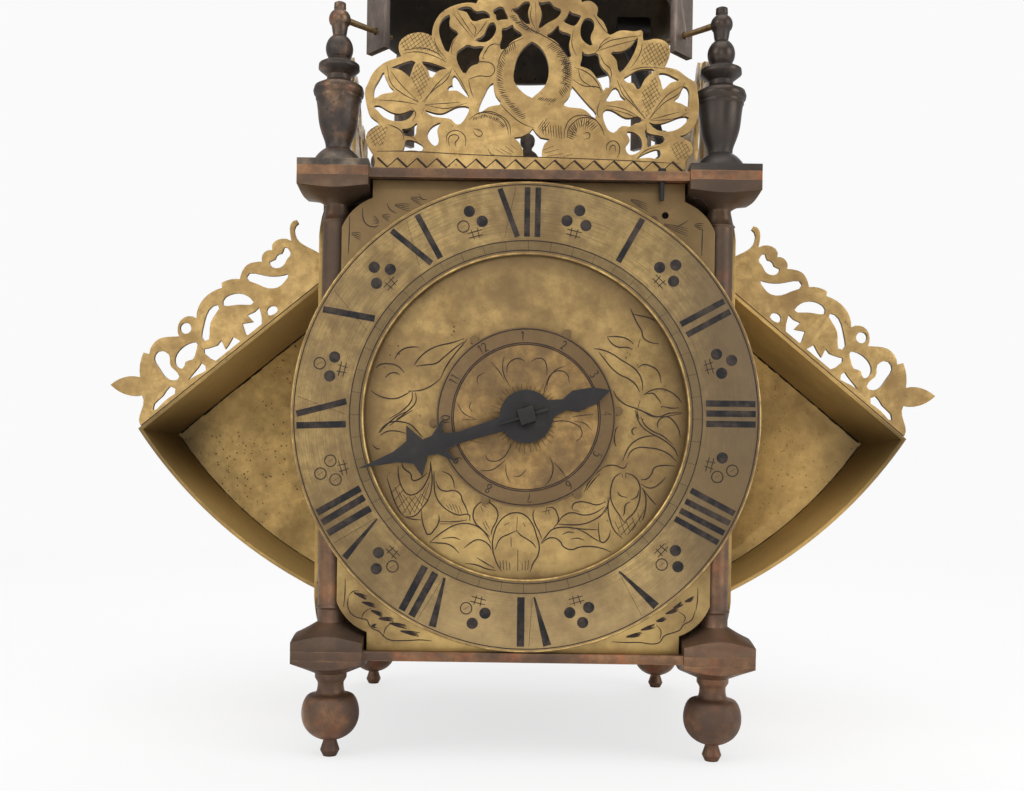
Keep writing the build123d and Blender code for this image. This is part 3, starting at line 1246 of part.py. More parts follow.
with BuildPart() as lifting_piece:
    lever_arbor(-post, lifting_z)
    lever_arm((-post, lifting_z), (-star_r - lever_clear - 1.2, dial_z + 4),
              hour_wheel_y + 0.4, hour_wheel_y + star_t, 4.0)
    lever_arm((-post, lifting_z), (-warning_teeth / 2 * warning_module - 2.4, warning_z - 6), 32.5, 35.5, 4.0)
keep(lifting_piece, "lifting_piece")


def toward(start, centre, radius):
    """The point of a circle that lies nearest to start."""
    reach = hypot(start[0] - centre[0], start[1] - centre[1])
    return (centre[0] + (start[0] - centre[0]) * radius / reach,
            centre[1] + (start[1] - centre[1]) * radius / reach)


with BuildPart() as locking_lever:
    lever_arbor(-post, locking_z)
    locking_start = (-post, locking_z)
    lever_arm(locking_start, toward(locking_start, (0, hoop_z), hoop_teeth / 2 * hoop_module + 2.2),
              46.4, 49.6, 4.0)
    lever_arm(locking_start, toward(locking_start, (0, count_z), count_rim_r + lever_clear), 60.2, 63.0, 3.6)
keep(locking_lever, "locking_lever")

# ---- Iron back plate, hanging hoop and wall spurs

back_plate_y = post + 5.6
back_plate_t = 2.0
back_reach = -arbor_end_y
spur_x = 50.0
spur_z = 48.0

with BuildPart() as back_plate:
    with BuildSketch(facing(back_plate_y + back_plate_t)):
        notched_outline(dial_plate_w / 2, deck_z, ceiling_z - 0.3, dial_step)
        mirror(about=Plane.YZ)
    extrude(amount=back_plate_t)
keep(back_plate, "back_plate")

with BuildPart() as back_spurs:
    for x in (-spur_x, spur_x):
        with BuildSketch(Plane(origin=(x, back_plate_y + back_plate_t, spur_z), x_dir=(1, 0, 0),
                               z_dir=(0, 1, 0))):
            Circle(3.4)
        extrude(amount=3.0)
        with BuildSketch(Plane(origin=(x, back_plate_y + back_plate_t + 3.0, spur_z), x_dir=(1, 0, 0),
                               z_dir=(0, 1, 0))):
            Circle(2.2)
        extrude(amount=back_reach - back_plate_y - back_plate_t - 3.0, taper=9)
keep(back_spurs, "back_spurs")

hoop_half_w = 17.0
hoop_iron = 4.0

with BuildPart() as hanging_hoop:
    with BuildSketch(Plane.XY.offset(roof_z)):
        with BuildLine():
            side_bar = Line((hoop_half_w, 62.0), (hoop_half_w, 71.0 - hoop_iron / 2))
            ThreePointArc(side_bar @ 1, (0, back_reach - hoop_iron / 2), (-hoop_half_w, 71.0 - hoop_iron / 2))
            Line((-hoop_half_w, 71.0 - hoop_iron / 2), (-hoop_half_w, 62.0))
        trace(line_width=hoop_iron)
        with Locations((-hoop_half_w, 64.0), (hoop_half_w, 64.0)):
            Rectangle(9, 8)
    extrude(amount=3.2)
keep(hanging_hoop, "hanging_hoop")
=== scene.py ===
import json
import math
import random

import bpy
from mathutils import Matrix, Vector


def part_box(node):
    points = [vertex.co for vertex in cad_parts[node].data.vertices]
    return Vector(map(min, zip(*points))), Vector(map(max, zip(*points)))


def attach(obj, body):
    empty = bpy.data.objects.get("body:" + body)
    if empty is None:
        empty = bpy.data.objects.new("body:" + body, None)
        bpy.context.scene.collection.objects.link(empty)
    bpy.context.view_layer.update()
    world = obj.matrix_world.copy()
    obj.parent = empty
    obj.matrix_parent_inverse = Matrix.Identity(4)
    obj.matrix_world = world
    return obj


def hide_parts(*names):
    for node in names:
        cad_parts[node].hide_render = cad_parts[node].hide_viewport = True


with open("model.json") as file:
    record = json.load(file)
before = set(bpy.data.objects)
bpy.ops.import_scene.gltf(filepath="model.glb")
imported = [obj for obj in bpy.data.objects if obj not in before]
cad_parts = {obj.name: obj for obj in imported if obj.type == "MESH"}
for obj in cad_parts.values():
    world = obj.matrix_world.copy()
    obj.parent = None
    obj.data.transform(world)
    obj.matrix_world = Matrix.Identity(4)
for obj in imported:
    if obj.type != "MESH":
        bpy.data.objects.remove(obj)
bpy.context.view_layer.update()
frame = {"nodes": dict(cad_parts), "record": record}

bodyOf = {node: body for body, nodes in frame["record"]["behaviour"]["bodies"].items() for node in nodes}
mm = 0.001
dialHeight = 122.7
roofHeight = 209.9


def linear(red, green, blue):
    return tuple(((c / 255 + 0.055) / 1.055) ** 2.4 for c in (red, green, blue)) + (1,)


def makeActive(piece):
    bpy.ops.object.select_all(action='DESELECT')
    piece.select_set(True)
    bpy.context.view_layer.objects.active = piece


# nodes: a source is a plain value or another node's output
def feed(tree, node, sources):
    for key, source in sources.items():
        if isinstance(source, bpy.types.NodeSocket):
            tree.links.new(source, node.inputs[key])
        elif source is not None:
            node.inputs[key].default_value = source
    return node


def addNode(tree, kind, sources):
    return feed(tree, tree.nodes.new(kind), sources)


def addMath(tree, operation, first, second=None):
    node = tree.nodes.new('ShaderNodeMath')
    node.operation = operation
    return feed(tree, node, {0: first, 1: second}).outputs[0]


def addRange(tree, value, low, high, toLow=0.0, toHigh=1.0):
    node = tree.nodes.new('ShaderNodeMapRange')
    node.interpolation_type = 'SMOOTHSTEP'
    return feed(tree, node, {0: value, 1: low, 2: high, 3: toLow, 4: toHigh}).outputs[0]


def addNoise(tree, vector, scale, detail=5.0, roughness=0.6):
    sources = {"Vector": vector, "Scale": scale, "Detail": detail, "Roughness": roughness}
    return addNode(tree, 'ShaderNodeTexNoise', sources).outputs["Fac"]


def addSplit(tree, vector):
    return addNode(tree, 'ShaderNodeSeparateXYZ', {0: vector}).outputs


def addReach(tree, across, up):
    squares = [addMath(tree, 'MULTIPLY', side, side) for side in (up, across)]
    return addMath(tree, 'SQRT', addMath(tree, 'ADD', *squares))


def addLevel(tree, cover, spread=0.6):
    # the height of a noise that about the given share of the surface lies above
    off = addMath(tree, 'MULTIPLY', addMath(tree, 'SUBTRACT', 0.5, cover), spread)
    return addMath(tree, 'ADD', 0.5, off)


# shader groups: each one takes a place and puts out one mask
def newGroup(name, output, **inputs):
    group = bpy.data.node_groups.new(name, 'ShaderNodeTree')
    group.interface.new_socket(name="Vector", in_out='INPUT', socket_type='NodeSocketVector')
    for key, value in inputs.items():
        socket = group.interface.new_socket(name=key, in_out='INPUT', socket_type='NodeSocketFloat')
        socket.default_value = value
    group.interface.new_socket(name=output, in_out='OUTPUT', socket_type='NodeSocketFloat')
    return group, group.nodes.new('NodeGroupInput').outputs, group.nodes.new('NodeGroupOutput')


def buildPatches():
    # cloudy patches of tarnish, as a mask that covers about the given share
    group, given, out = newGroup("patches", "Mask", Scale=40.0, Cover=0.5, Softness=0.15)
    cloud = addNoise(group, given["Vector"], given["Scale"], detail=7.0, roughness=0.65)
    middle = addLevel(group, given["Cover"])
    low, high = (addMath(group, way, middle, given["Softness"]) for way in ('SUBTRACT', 'ADD'))
    feed(group, out, {"Mask": addRange(group, cloud, low, high)})
    return group


def buildSpecks(wobbling=2.0, core=0.6, fringe=0.12):
    # small dark spots that gather in clouds
    group, given, out = newGroup("specks", "Mask", Scale=300.0, Size=0.2, Clouds=60.0, Cover=0.5)
    place = given["Vector"]
    cells = addNode(group, 'ShaderNodeTexVoronoi', {"Vector": place, "Scale": given["Scale"]})
    wobble = addNoise(group, place, addMath(group, 'MULTIPLY', given["Scale"], wobbling), detail=3.0)
    size = addMath(group, 'MULTIPLY', given["Size"], addMath(group, 'MULTIPLY', wobble, wobbling))
    full = addMath(group, 'MULTIPLY', size, core)
    spots = addRange(group, cells.outputs["Distance"], full, size, 1.0, 0.0)
    cloud = addNoise(group, place, given["Clouds"], detail=4.0)
    edge = addLevel(group, given["Cover"])
    gathered = addRange(group, cloud, edge, addMath(group, 'ADD', edge, fringe))
    feed(group, out, {"Mask": addMath(group, 'MULTIPLY', spots, gathered)})
    return group


def buildRubbing(grain=3.0, contrast=(0.35, 0.65)):
    # fine strokes round the dial's centre, as left by turning and by polishing
    group, given, out = newGroup("rubbing", "Strokes", Height=dialHeight * mm, Round=1.2, Across=900.0)
    parts = addSplit(group, given["Vector"])
    up = addMath(group, 'SUBTRACT', parts["Z"], given["Height"])
    turn = addMath(group, 'ARCTAN2', up, parts["X"])
    joined = addNode(group, 'ShaderNodeCombineXYZ', {
        "X": addMath(group, 'MULTIPLY', turn, given["Round"]),
        "Y": addMath(group, 'MULTIPLY', addReach(group, parts["X"], up), given["Across"]),
    })
    strokes = addNoise(group, joined.outputs[0], grain, detail=6.0, roughness=0.7)
    feed(group, out, {"Strokes": addRange(group, strokes, *contrast)})
    return group


def buildEdgeWear(facings=(0.75, 0.98), contrast=(0.35, 0.6)):
    # edges rubbed bright by hands and cloths
    group, given, out = newGroup("edgeWear", "Mask", Radius=0.0006, Breaks=200.0)
    rounded = addNode(group, 'ShaderNodeBevel', {"Radius": given["Radius"]})
    rounded.samples = 4
    surface = group.nodes.new('ShaderNodeNewGeometry').outputs["Normal"]
    facing = group.nodes.new('ShaderNodeVectorMath')
    facing.operation = 'DOT_PRODUCT'
    feed(group, facing, {0: rounded.outputs[0], 1: surface})
    edge = addRange(group, facing.outputs["Value"], *facings, 1.0, 0.0)
    broken = addRange(group, addNoise(group, given["Vector"], given["Breaks"], detail=4.0), *contrast)
    feed(group, out, {"Mask": addMath(group, 'MULTIPLY', edge, broken)})
    return group


# camera, floor and lamps
view = {
    "place": (-0.0099, -0.4577, 0.1007), "turn": (90, -0.8, 0), "lens": 37.8, "sensor": 36,
    "shift": (0.0146, 0.0815), "nearest": 0.01,
}
stage = {
    "floorSize": 60, "floor": linear(247, 247, 247), "floorRough": 0.9,
    # the share of plain white in the floor: beside the clock, and from some way off
    "whiteShare": (0.74, 1.0), "whiteReach": (0.35, 1.3), "white": linear(250, 250, 250),
    "sky": linear(250, 250, 252), "skyStrength": 0.55,
    "lamps": [
        # name, place, aim, size, watts
        ("lampAbove", (0.0, -0.5, 1.5), (0, 0, 0.15), 1.6, 12),
        ("lampFront", (-0.25, -1.7, 0.4), (0, 0, 0.12), 1.0, 4),
        ("lampLeft", (-1.2, -0.9, 0.8), (0, 0, 0.15), 1.0, 6),
        ("lampRight", (1.3, -0.8, 0.6), (0, 0, 0.12), 1.0, 7),
        ("lampBehind", (0.2, 1.2, 1.1), (0, 0, 0.15), 1.2, 6),
    ],
}


def clearTree(owner):
    owner.use_nodes = True
    owner.node_tree.nodes.clear()
    return owner.node_tree


def splitByCamera(tree, outputKind, lighting, seen, share=1.0):
    # one shader lights the clock, and the camera sees a share of the other
    path = tree.nodes.new('ShaderNodeLightPath').outputs["Is Camera Ray"]
    mask = addMath(tree, 'MULTIPLY', path, share)
    mix = addNode(tree, 'ShaderNodeMixShader', {0: mask, 1: lighting.outputs[0], 2: seen.outputs[0]})
    addNode(tree, outputKind, {"Surface": mix.outputs[0]})


def buildStage():
    bpy.ops.object.camera_add(location=view["place"], rotation=[math.radians(a) for a in view["turn"]])
    camera = bpy.context.object
    camera.name = "camera"
    camera.data.lens = view["lens"]
    camera.data.sensor_width = view["sensor"]
    camera.data.shift_x, camera.data.shift_y = view["shift"]
    camera.data.clip_start = view["nearest"]
    bpy.context.scene.camera = camera
    bpy.context.scene.view_settings.view_transform = 'Standard'

    bpy.ops.mesh.primitive_plane_add(size=stage["floorSize"], location=(0, 0, 0))
    floor = bpy.context.object
    floor.name = "floor"
    sweep = bpy.data.materials.new("paperSweep")
    tree = clearTree(sweep)
    away = tree.nodes.new('ShaderNodeVectorMath')
    away.operation = 'LENGTH'
    feed(tree, away, {0: tree.nodes.new('ShaderNodeTexCoord').outputs["Object"]})
    paper = {"Base Color": stage["floor"], "Roughness": stage["floorRough"]}
    splitByCamera(tree, 'ShaderNodeOutputMaterial', addNode(tree, 'ShaderNodeBsdfPrincipled', paper),
                  addNode(tree, 'ShaderNodeEmission', {"Color": stage["white"]}),
                  addRange(tree, away.outputs["Value"], *stage["whiteReach"], *stage["whiteShare"]))
    floor.data.materials.append(sweep)

    world = bpy.data.worlds.new("studio")
    bpy.context.scene.world = world
    tree = clearTree(world)
    sky = addNode(tree, 'ShaderNodeBackground', {"Color": stage["sky"], "Strength": stage["skyStrength"]})
    white = addNode(tree, 'ShaderNodeBackground', {"Color": stage["white"], "Strength": 1})
    splitByCamera(tree, 'ShaderNodeOutputWorld', sky, white)

    for name, place, aim, size, watts in stage["lamps"]:
        bpy.ops.object.light_add(type='AREA', location=place)
        lamp = bpy.context.object
        lamp.name = name
        lamp.data.shape = 'DISK'
        lamp.data.size = size
        lamp.data.energy = watts
        lamp.rotation_euler = (Vector(aim) - Vector(place)).to_track_quat('-Z', 'Y').to_euler()


buildStage()
print("stage ready")


groups = {"patches": buildPatches(), "specks": buildSpecks(), "rubbing": buildRubbing(),
          "edgeWear": buildEdgeWear()}


def placeGroup(tree, name, vector, **values):
    node = tree.nodes.new('ShaderNodeGroup')
    node.node_tree = groups[name]
    return feed(tree, node, {"Vector": vector, **values}).outputs[0]


def mixColour(tree, mask, first, second):
    node = tree.nodes.new('ShaderNodeMix')
    node.data_type = 'RGBA'
    return feed(tree, node, {"Factor": mask, 6: first, 7: second}).outputs[2]


def newMaterial(name):
    material = bpy.data.materials.new(name)
    material.use_nodes = True
    return material, material.node_tree


def addBump(tree, height, strength, reach):
    sources = {"Height": height, "Strength": strength, "Distance": reach}
    return addNode(tree, 'ShaderNodeBump', sources).outputs["Normal"]


def addWay(tree, parts, way):
    # along X or Z, away from the clock's middle, or round the dial's centre
    if way == "away":
        return addMath(tree, 'ABSOLUTE', parts["X"])
    if way == "round":
        return addReach(tree, parts["X"], addMath(tree, 'SUBTRACT', parts["Z"], dialHeight * mm))
    return parts[way]


# what the aged metals share where a look says nothing else; radius and depth in m
usual = {
    "softness": 0.2, "secondCover": 0.3, "secondScale": 2.7, "secondSoftness": 0.1,
    "mottle": 0.5, "mottleScale": 240.0, "mottleRange": (0.38, 0.62),
    "grain": 0.3, "grainScale": 900.0, "bump": 0.25, "bumpDepth": 0.0004,
    "rubbingHeight": 0.25, "speckHeight": 0.4, "edgeRadius": 0.0006, "edgeShare": 0.5,
    # from where to where a face turns from the front, and to the clock's middle
    "turned": (0.2, 0.7), "inward": (-0.03, -0.01),
}


def agedMetal(name, look):
    look = {**usual, **look}
    clean, tarnished, stained = (linear(*look[tone]) for tone in ("clean", "tarnish", "second"))
    material, tree = newMaterial(name)
    coordinates = tree.nodes.new('ShaderNodeTexCoord').outputs
    place = coordinates["Object"]
    parts = addSplit(tree, place)
    tarnish = placeGroup(tree, "patches", place, Scale=look["scale"], Cover=look["cover"],
                         Softness=look["softness"])
    colour = mixColour(tree, tarnish, clean, tarnished)
    second = placeGroup(tree, "patches", place, Scale=look["scale"] * look["secondScale"],
                        Cover=look["secondCover"], Softness=look["secondSoftness"])
    colour = mixColour(tree, second, colour, mixColour(tree, tarnish, stained, tarnished))
    mottle = addNoise(tree, place, look["mottleScale"], detail=8.0, roughness=0.7)
    mottle = addRange(tree, mottle, *look["mottleRange"], 0.0, look["mottle"])
    colour = mixColour(tree, mottle, colour, tarnished)
    height = addMath(tree, 'MULTIPLY', addNoise(tree, place, look["grainScale"], detail=4.0), look["grain"])
    if "rubbing" in look:
        strokes = placeGroup(tree, "rubbing", place)
        share = addMath(tree, 'MULTIPLY', strokes, look["rubbing"])
        colour = mixColour(tree, share, colour, linear(*look["rubbed"]))
        height = addMath(tree, 'ADD', height, addMath(tree, 'MULTIPLY', strokes, look["rubbingHeight"]))
    if "specks" in look:
        scale, size, clouds, cover = look["specks"]
        specks = placeGroup(tree, "specks", place, Scale=scale, Size=size, Clouds=clouds, Cover=cover)
        colour = mixColour(tree, specks, colour, linear(*look["speckColour"]))
        height = addMath(tree, 'SUBTRACT', height, addMath(tree, 'MULTIPLY', specks, look["speckHeight"]))
    if "edge" in look:
        worn = placeGroup(tree, "edgeWear", place, Radius=look["edgeRadius"])
        worn = addMath(tree, 'MULTIPLY', worn, look["edgeShare"])
        colour = mixColour(tree, worn, colour, linear(*look["edge"]))
    metal = addRange(tree, tarnish, 0.0, 1.0, *look["metal"])
    if "walls" in look or "inside" in look:
        # faces that don't look to the front, all of them or those that look to the clock's middle, take
        # another tone: painted light inside the wings, and on the sawn walls partly painted shade, partly
        # their own patina
        share, tone, metalLeft = look.get("walls") or look["inside"]
        facing = addSplit(tree, coordinates["Normal"])
        aside = addRange(tree, addMath(tree, 'ABSOLUTE', facing["Y"]), *look["turned"], share, 0.0)
        if "inside" in look:
            outward = addMath(tree, 'MULTIPLY', parts["X"], facing["X"])
            aside = addMath(tree, 'MULTIPLY', aside, addRange(tree, outward, *look["inward"], 1.0, 0.0))
        colour = mixColour(tree, aside, colour, linear(*tone))
        metal = addMath(tree, 'MULTIPLY', metal, addRange(tree, aside, 0.0, share, 1.0, metalLeft))
    # banks: a tone laid on along a way; some are painted light or painted shade, as the looks say
    for way, low, high, share, tone in look.get("banks", ()):
        bank = addRange(tree, addWay(tree, parts, way), low * mm, high * mm, 0.0, share)
        colour = mixColour(tree, bank, colour, mixColour(tree, tarnish, linear(*tone), tarnished))
    feed(tree, tree.nodes["Principled BSDF"], {
        "Base Color": colour, "Roughness": addRange(tree, tarnish, 0.0, 1.0, *look["rough"]),
        "Metallic": metal, "Normal": addBump(tree, height, look["bump"], look["bumpDepth"]),
    })
    return material


looks = {
    "dialBrass": {
        "clean": (170, 142, 88), "tarnish": (112, 88, 54), "second": (138, 112, 66), "scale": 26,
        "cover": 0.42, "rough": (0.38, 0.55), "metal": (0.7, 0.5),
        # banks: darker next to the chapter ring and round the alarm disc, dirt and painted shade where the
        # parts meet; darker towards the top; lighter towards the bottom as painted light from below; a
        # painted shadow of the top plate along the top edge; painted shade to the right
        "banks": [("round", 50, 56.5, 0.6, (92, 74, 48)), ("round", 37, 32.5, 0.45, (112, 90, 58)),
                  ("Z", 150, 195, 0.55, (112, 92, 62)), ("Z", 88, 58, 0.8, (216, 184, 116)),
                  ("Z", 202.5, 203.5, 0.5, (70, 56, 38)), ("X", 30, 55, 0.35, (108, 87, 58))],
        "specks": (420, 0.18, 60, 0.45), "speckColour": (70, 50, 32), "bump": 0.2,
    },
    "ringBrass": {
        "clean": (184, 156, 100), "tarnish": (110, 90, 58), "second": (140, 112, 66), "scale": 22,
        "cover": 0.46, "softness": 0.22, "secondCover": 0.36, "rough": (0.4, 0.55), "metal": (0.7, 0.5),
        "rubbing": 0.5, "rubbed": (92, 72, 48), "bump": 0.25,
        # banks: painted shade to the right, lighter towards the bottom as painted light from below, and
        # darker inside the quarter track
        "banks": [("X", 35, 75, 0.85, (88, 74, 62)), ("Z", 80, 48, 0.55, (196, 168, 120)),
                  ("round", 62.8, 62, 0.6, (86, 73, 52))],
        "specks": (500, 0.14, 80, 0.3), "speckColour": (70, 50, 34),
    },
    "rubbedBrass": {
        "clean": (216, 182, 114), "tarnish": (128, 100, 60), "second": (176, 140, 84), "scale": 60,
        "cover": 0.48, "rough": (0.3, 0.45), "metal": (0.7, 0.55), "bump": 0.15,
    },
    "discBrass": {
        "clean": (156, 125, 76), "tarnish": (106, 83, 52), "second": (134, 104, 62), "scale": 60,
        "cover": 0.5, "secondCover": 0.35, "rough": (0.4, 0.55), "metal": (0.7, 0.5),
        "banks": [("round", 25.4, 26.2, 0.7, (88, 73, 56))],
        "specks": (500, 0.15, 90, 0.35), "speckColour": (80, 58, 36), "bump": 0.2,
    },
    "pillarBronze": {
        "clean": (122, 94, 66), "tarnish": (74, 58, 46), "second": (152, 92, 56), "scale": 42,
        "cover": 0.52, "softness": 0.16, "secondCover": 0.4, "rough": (0.34, 0.5), "metal": (0.65, 0.5),
        "banks": [("Z", 150, 185, 0.7, (82, 68, 54)), ("Z", 110, 60, 0.5, (152, 112, 80)),
                  ("Z", 58, 54, 0.6, (98, 79, 66))],
        "edge": (184, 146, 106), "bump": 0.3, "specks": (400, 0.16, 60, 0.35), "speckColour": (56, 45, 38),
    },
    "plateBronze": {
        "clean": (142, 104, 72), "tarnish": (80, 61, 48), "second": (158, 94, 60), "scale": 40,
        "cover": 0.54, "softness": 0.15, "secondCover": 0.4, "rough": (0.36, 0.55), "metal": (0.6, 0.45),
        "edge": (192, 150, 108), "edgeShare": 0.6, "bump": 0.35, "specks": (380, 0.18, 50, 0.4),
        "speckColour": (48, 39, 34),
    },
    "finialBronze": {
        "clean": (126, 100, 76), "tarnish": (56, 49, 44), "second": (146, 90, 60), "scale": 60,
        "cover": 0.58, "softness": 0.14, "secondCover": 0.32, "rough": (0.28, 0.45), "metal": (0.65, 0.5),
        "banks": [("Z", 219, 214, 0.5, (132, 126, 110)), ("X", 40, 60, 0.85, (46, 41, 38))],
        "edge": (172, 136, 106), "bump": 0.35, "specks": (360, 0.18, 50, 0.4), "speckColour": (42, 36, 33),
    },
    "doorBrass": {
        "clean": (190, 157, 94), "tarnish": (134, 108, 62), "second": (160, 130, 74), "scale": 18,
        "cover": 0.42, "rough": (0.36, 0.55), "metal": (0.65, 0.45), "specks": (460, 0.19, 30, 0.62),
        # the wings' inward faces take a lighter tone as painted light; banks: painted light on the right
        # wing, and painted shade in the corners towards the wings' tips
        "speckColour": (74, 54, 30), "bump": 0.3, "inside": (0.62, (216, 182, 116), 0.25),
        "banks": [("X", 60, 90, 0.45, (212, 174, 106)), ("away", 122, 152, 0.8, (50, 38, 22))],
    },
    "fretBrass": {
        "clean": (192, 160, 102), "tarnish": (134, 106, 64), "second": (158, 128, 74), "scale": 50,
        "cover": 0.4, "rough": (0.38, 0.55), "metal": (0.68, 0.5), "edge": (210, 178, 120),
        "edgeRadius": 0.0004, "specks": (500, 0.17, 70, 0.4), "speckColour": (78, 57, 36), "bump": 0.25,
    },
    "bellMetal": {
        "clean": (120, 100, 70), "tarnish": (52, 46, 38), "second": (84, 70, 48), "scale": 16,
        "cover": 0.62, "rough": (0.4, 0.6), "metal": (0.6, 0.4), "specks": (240, 0.2, 40, 0.45),
        "speckColour": (30, 26, 22), "bump": 0.3,
    },
    "wheelBrass": {
        "clean": (188, 154, 92), "tarnish": (132, 102, 58), "second": (158, 126, 72), "scale": 60,
        "cover": 0.4, "secondCover": 0.35, "rough": (0.3, 0.5), "metal": (0.85, 0.6),
        "specks": (500, 0.15, 70, 0.35), "speckColour": (78, 56, 32), "bump": 0.15,
    },
    "bobBrass": {
        "clean": (176, 144, 88), "tarnish": (118, 92, 56), "second": (142, 112, 66), "scale": 70,
        "cover": 0.45, "secondCover": 0.35, "rough": (0.3, 0.5), "metal": (0.8, 0.6), "bump": 0.15,
    },
    "strapIron": {
        "clean": (128, 113, 102), "tarnish": (88, 78, 72), "second": (118, 96, 80), "scale": 36,
        "cover": 0.45, "rough": (0.36, 0.55), "metal": (0.6, 0.45), "edge": (170, 154, 136),
        "edgeShare": 0.45, "edgeRadius": 0.0004, "bump": 0.3, "specks": (380, 0.18, 50, 0.4),
        "speckColour": (54, 47, 44),
    },
    "blackIron": {
        "clean": (50, 46, 44), "tarnish": (28, 26, 26), "second": (56, 45, 38), "scale": 70, "cover": 0.6,
        "softness": 0.18, "rough": (0.4, 0.6), "metal": (0.6, 0.35), "edge": (150, 136, 120),
        "edgeRadius": 0.0004, "bump": 0.4,
    },
    "steel": {
        "clean": (128, 120, 112), "tarnish": (82, 76, 70), "second": (110, 90, 72), "scale": 80,
        "cover": 0.4, "secondCover": 0.35, "rough": (0.3, 0.5), "metal": (0.8, 0.65), "bump": 0.2,
    },
    "paleBrass": {
        "clean": (164, 138, 96), "tarnish": (112, 94, 68), "second": (138, 108, 72), "scale": 90,
        "cover": 0.4, "secondCover": 0.35, "rough": (0.3, 0.5), "metal": (0.75, 0.6), "bump": 0.2,
    },
}
# the sawn walls darker: partly their own patina, partly painted shade
looks["sawnBrass"] = dict(looks["fretBrass"], walls=(0.8, (72, 54, 42), 0.4))
finishes = {name: agedMetal(name, look) for name, look in looks.items()}

# wax and dirt in the cuts, and grime in the wings' joints that is partly painted shade: no metal, with a
# little unevenness
darks = {
    "blackWax": ((22, 21, 23), (62, 52, 44), 0.75),
    "engraving": ((36, 27, 28), (60, 44, 34), 0.7),
    "dirt": ((24, 20, 15), (66, 52, 32), 0.85),
}
darkGrain = {"scale": 220.0, "cover": 0.45, "softness": 0.15, "shine": 0.3, "fine": 1500.0, "bump": 0.3,
             "depth": 0.0002}


def plainDark(name, first, second, rough):
    material, tree = newMaterial(name)
    place = tree.nodes.new('ShaderNodeTexCoord').outputs["Object"]
    mask = placeGroup(tree, "patches", place, Scale=darkGrain["scale"], Cover=darkGrain["cover"],
                      Softness=darkGrain["softness"])
    grain = addNoise(tree, place, darkGrain["fine"], detail=3.0)
    feed(tree, tree.nodes["Principled BSDF"], {
        "Base Color": mixColour(tree, mask, linear(*first), linear(*second)),
        "Roughness": rough, "Specular IOR Level": darkGrain["shine"],
        "Normal": addBump(tree, grain, darkGrain["bump"], darkGrain["depth"]),
    })
    return material


for name, dark in darks.items():
    finishes[name] = plainDark(name, *dark)
print("finishes ready")

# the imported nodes, each with its finish and the width of its softened edges in mm
frameCorners = ("front_left", "front_right", "back_left", "back_right")
dressing = [
    (["pillar_" + corner for corner in frameCorners], "pillarBronze", "frame_brass", 0.3),
    (("feet", "top_plate", "bottom_plate"), "plateBronze", "frame_brass", 0.4),
    (["finial_" + corner for corner in frameCorners], "finialBronze", "frame_brass", 0.25),
    (("dial_plate",), "dialBrass", "dial_brass", 0.2),
    (("chapter_ring",), "ringBrass", "ring_brass", 0.3),
    (("alarm_disc",), "discBrass", "ring_brass", 0.2),
    (("left_door", "right_door", "left_wing", "right_wing"), "doorBrass", "door_brass", 0.2),
    (("front_fret", "left_wing_fret", "right_wing_fret"), "sawnBrass", "fret_brass", 0.12),
    (("left_fret", "right_fret"), "fretBrass", "fret_brass", 0.12),
    (("bell",), "bellMetal", "bell_metal", 0.3),
    (("going_sprocket", "strike_sprocket", "great_wheel", "strike_wheel", "second_wheel", "contrate_wheel",
      "crown_wheel", "hour_wheel", "hoop_wheel", "warning_wheel", "count_wheel", "fly"), "wheelBrass",
     "wheel_brass", 0),
    (("pendulum_bob",), "bobBrass", "bob_brass", 0.3),
    (("front_bar", "rear_bar", "going_rear_bar", "strike_front_bar", "verge_cock_front", "verge_cock_rear"),
     "steel", "steel", 0.25),
    (("back_plate", "bell_strap", "bell_nut"), "strapIron", "iron", 0.3),
    (("bell_finial",), "fretBrass", "fret_brass", 0.3),
    (("hanging_hoop", "back_spurs", "hammer", "hammer_spring", "hour_hand", "hand_pin", "dial_pin"),
     "blackIron", "iron", 0.2),
    (("strap_pins",), "paleBrass", "iron", 0.1),
    (("bar_wedges",), "blackIron", "iron", 0.1),
    (("lifting_piece", "locking_lever"), "steel", "steel", 0.2),
    (("verge", "pendulum_rod"), "steel", "steel", 0.1),
]

# welding in m, the rest in degrees: nearly flat, sharp enough to soften, still smooth
softening = {"weld": 0.000002, "flat": 0.6, "sharp": 40, "smooth": 35, "segments": 2}


def soften(piece, width):
    makeActive(piece)
    if width:
        bevel = piece.modifiers.new("softened", 'BEVEL')
        bevel.width = width * mm
        bevel.segments = softening["segments"]
        bevel.limit_method = 'ANGLE'
        bevel.angle_limit = math.radians(softening["sharp"])
        bevel.harden_normals = False
        bpy.ops.object.modifier_apply(modifier=bevel.name)
    bpy.ops.object.shade_smooth_by_angle(angle=math.radians(softening["smooth"]))


def dress(name, finish, softened):
    source = frame["nodes"][name]
    piece = bpy.data.objects.new(name + "_piece", source.data.copy())
    bpy.context.scene.collection.objects.link(piece)
    makeActive(piece)
    bpy.ops.object.mode_set(mode='EDIT')
    bpy.ops.mesh.select_all(action='SELECT')
    bpy.ops.mesh.remove_doubles(threshold=softening["weld"])
    bpy.ops.mesh.dissolve_limited(angle_limit=math.radians(softening["flat"]))
    bpy.ops.mesh.customdata_custom_splitnormals_clear()
    bpy.ops.object.mode_set(mode='OBJECT')
    soften(piece, softened)
    piece.data.materials.clear()
    piece.data.materials.append(finishes[finish])
    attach(piece, bodyOf[name])
    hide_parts(name)
    return piece


pieces = [dress(name, finish, softened)
          for names, finish, slotName, softened in dressing for name in names]
print("nodes dressed:", len(pieces))


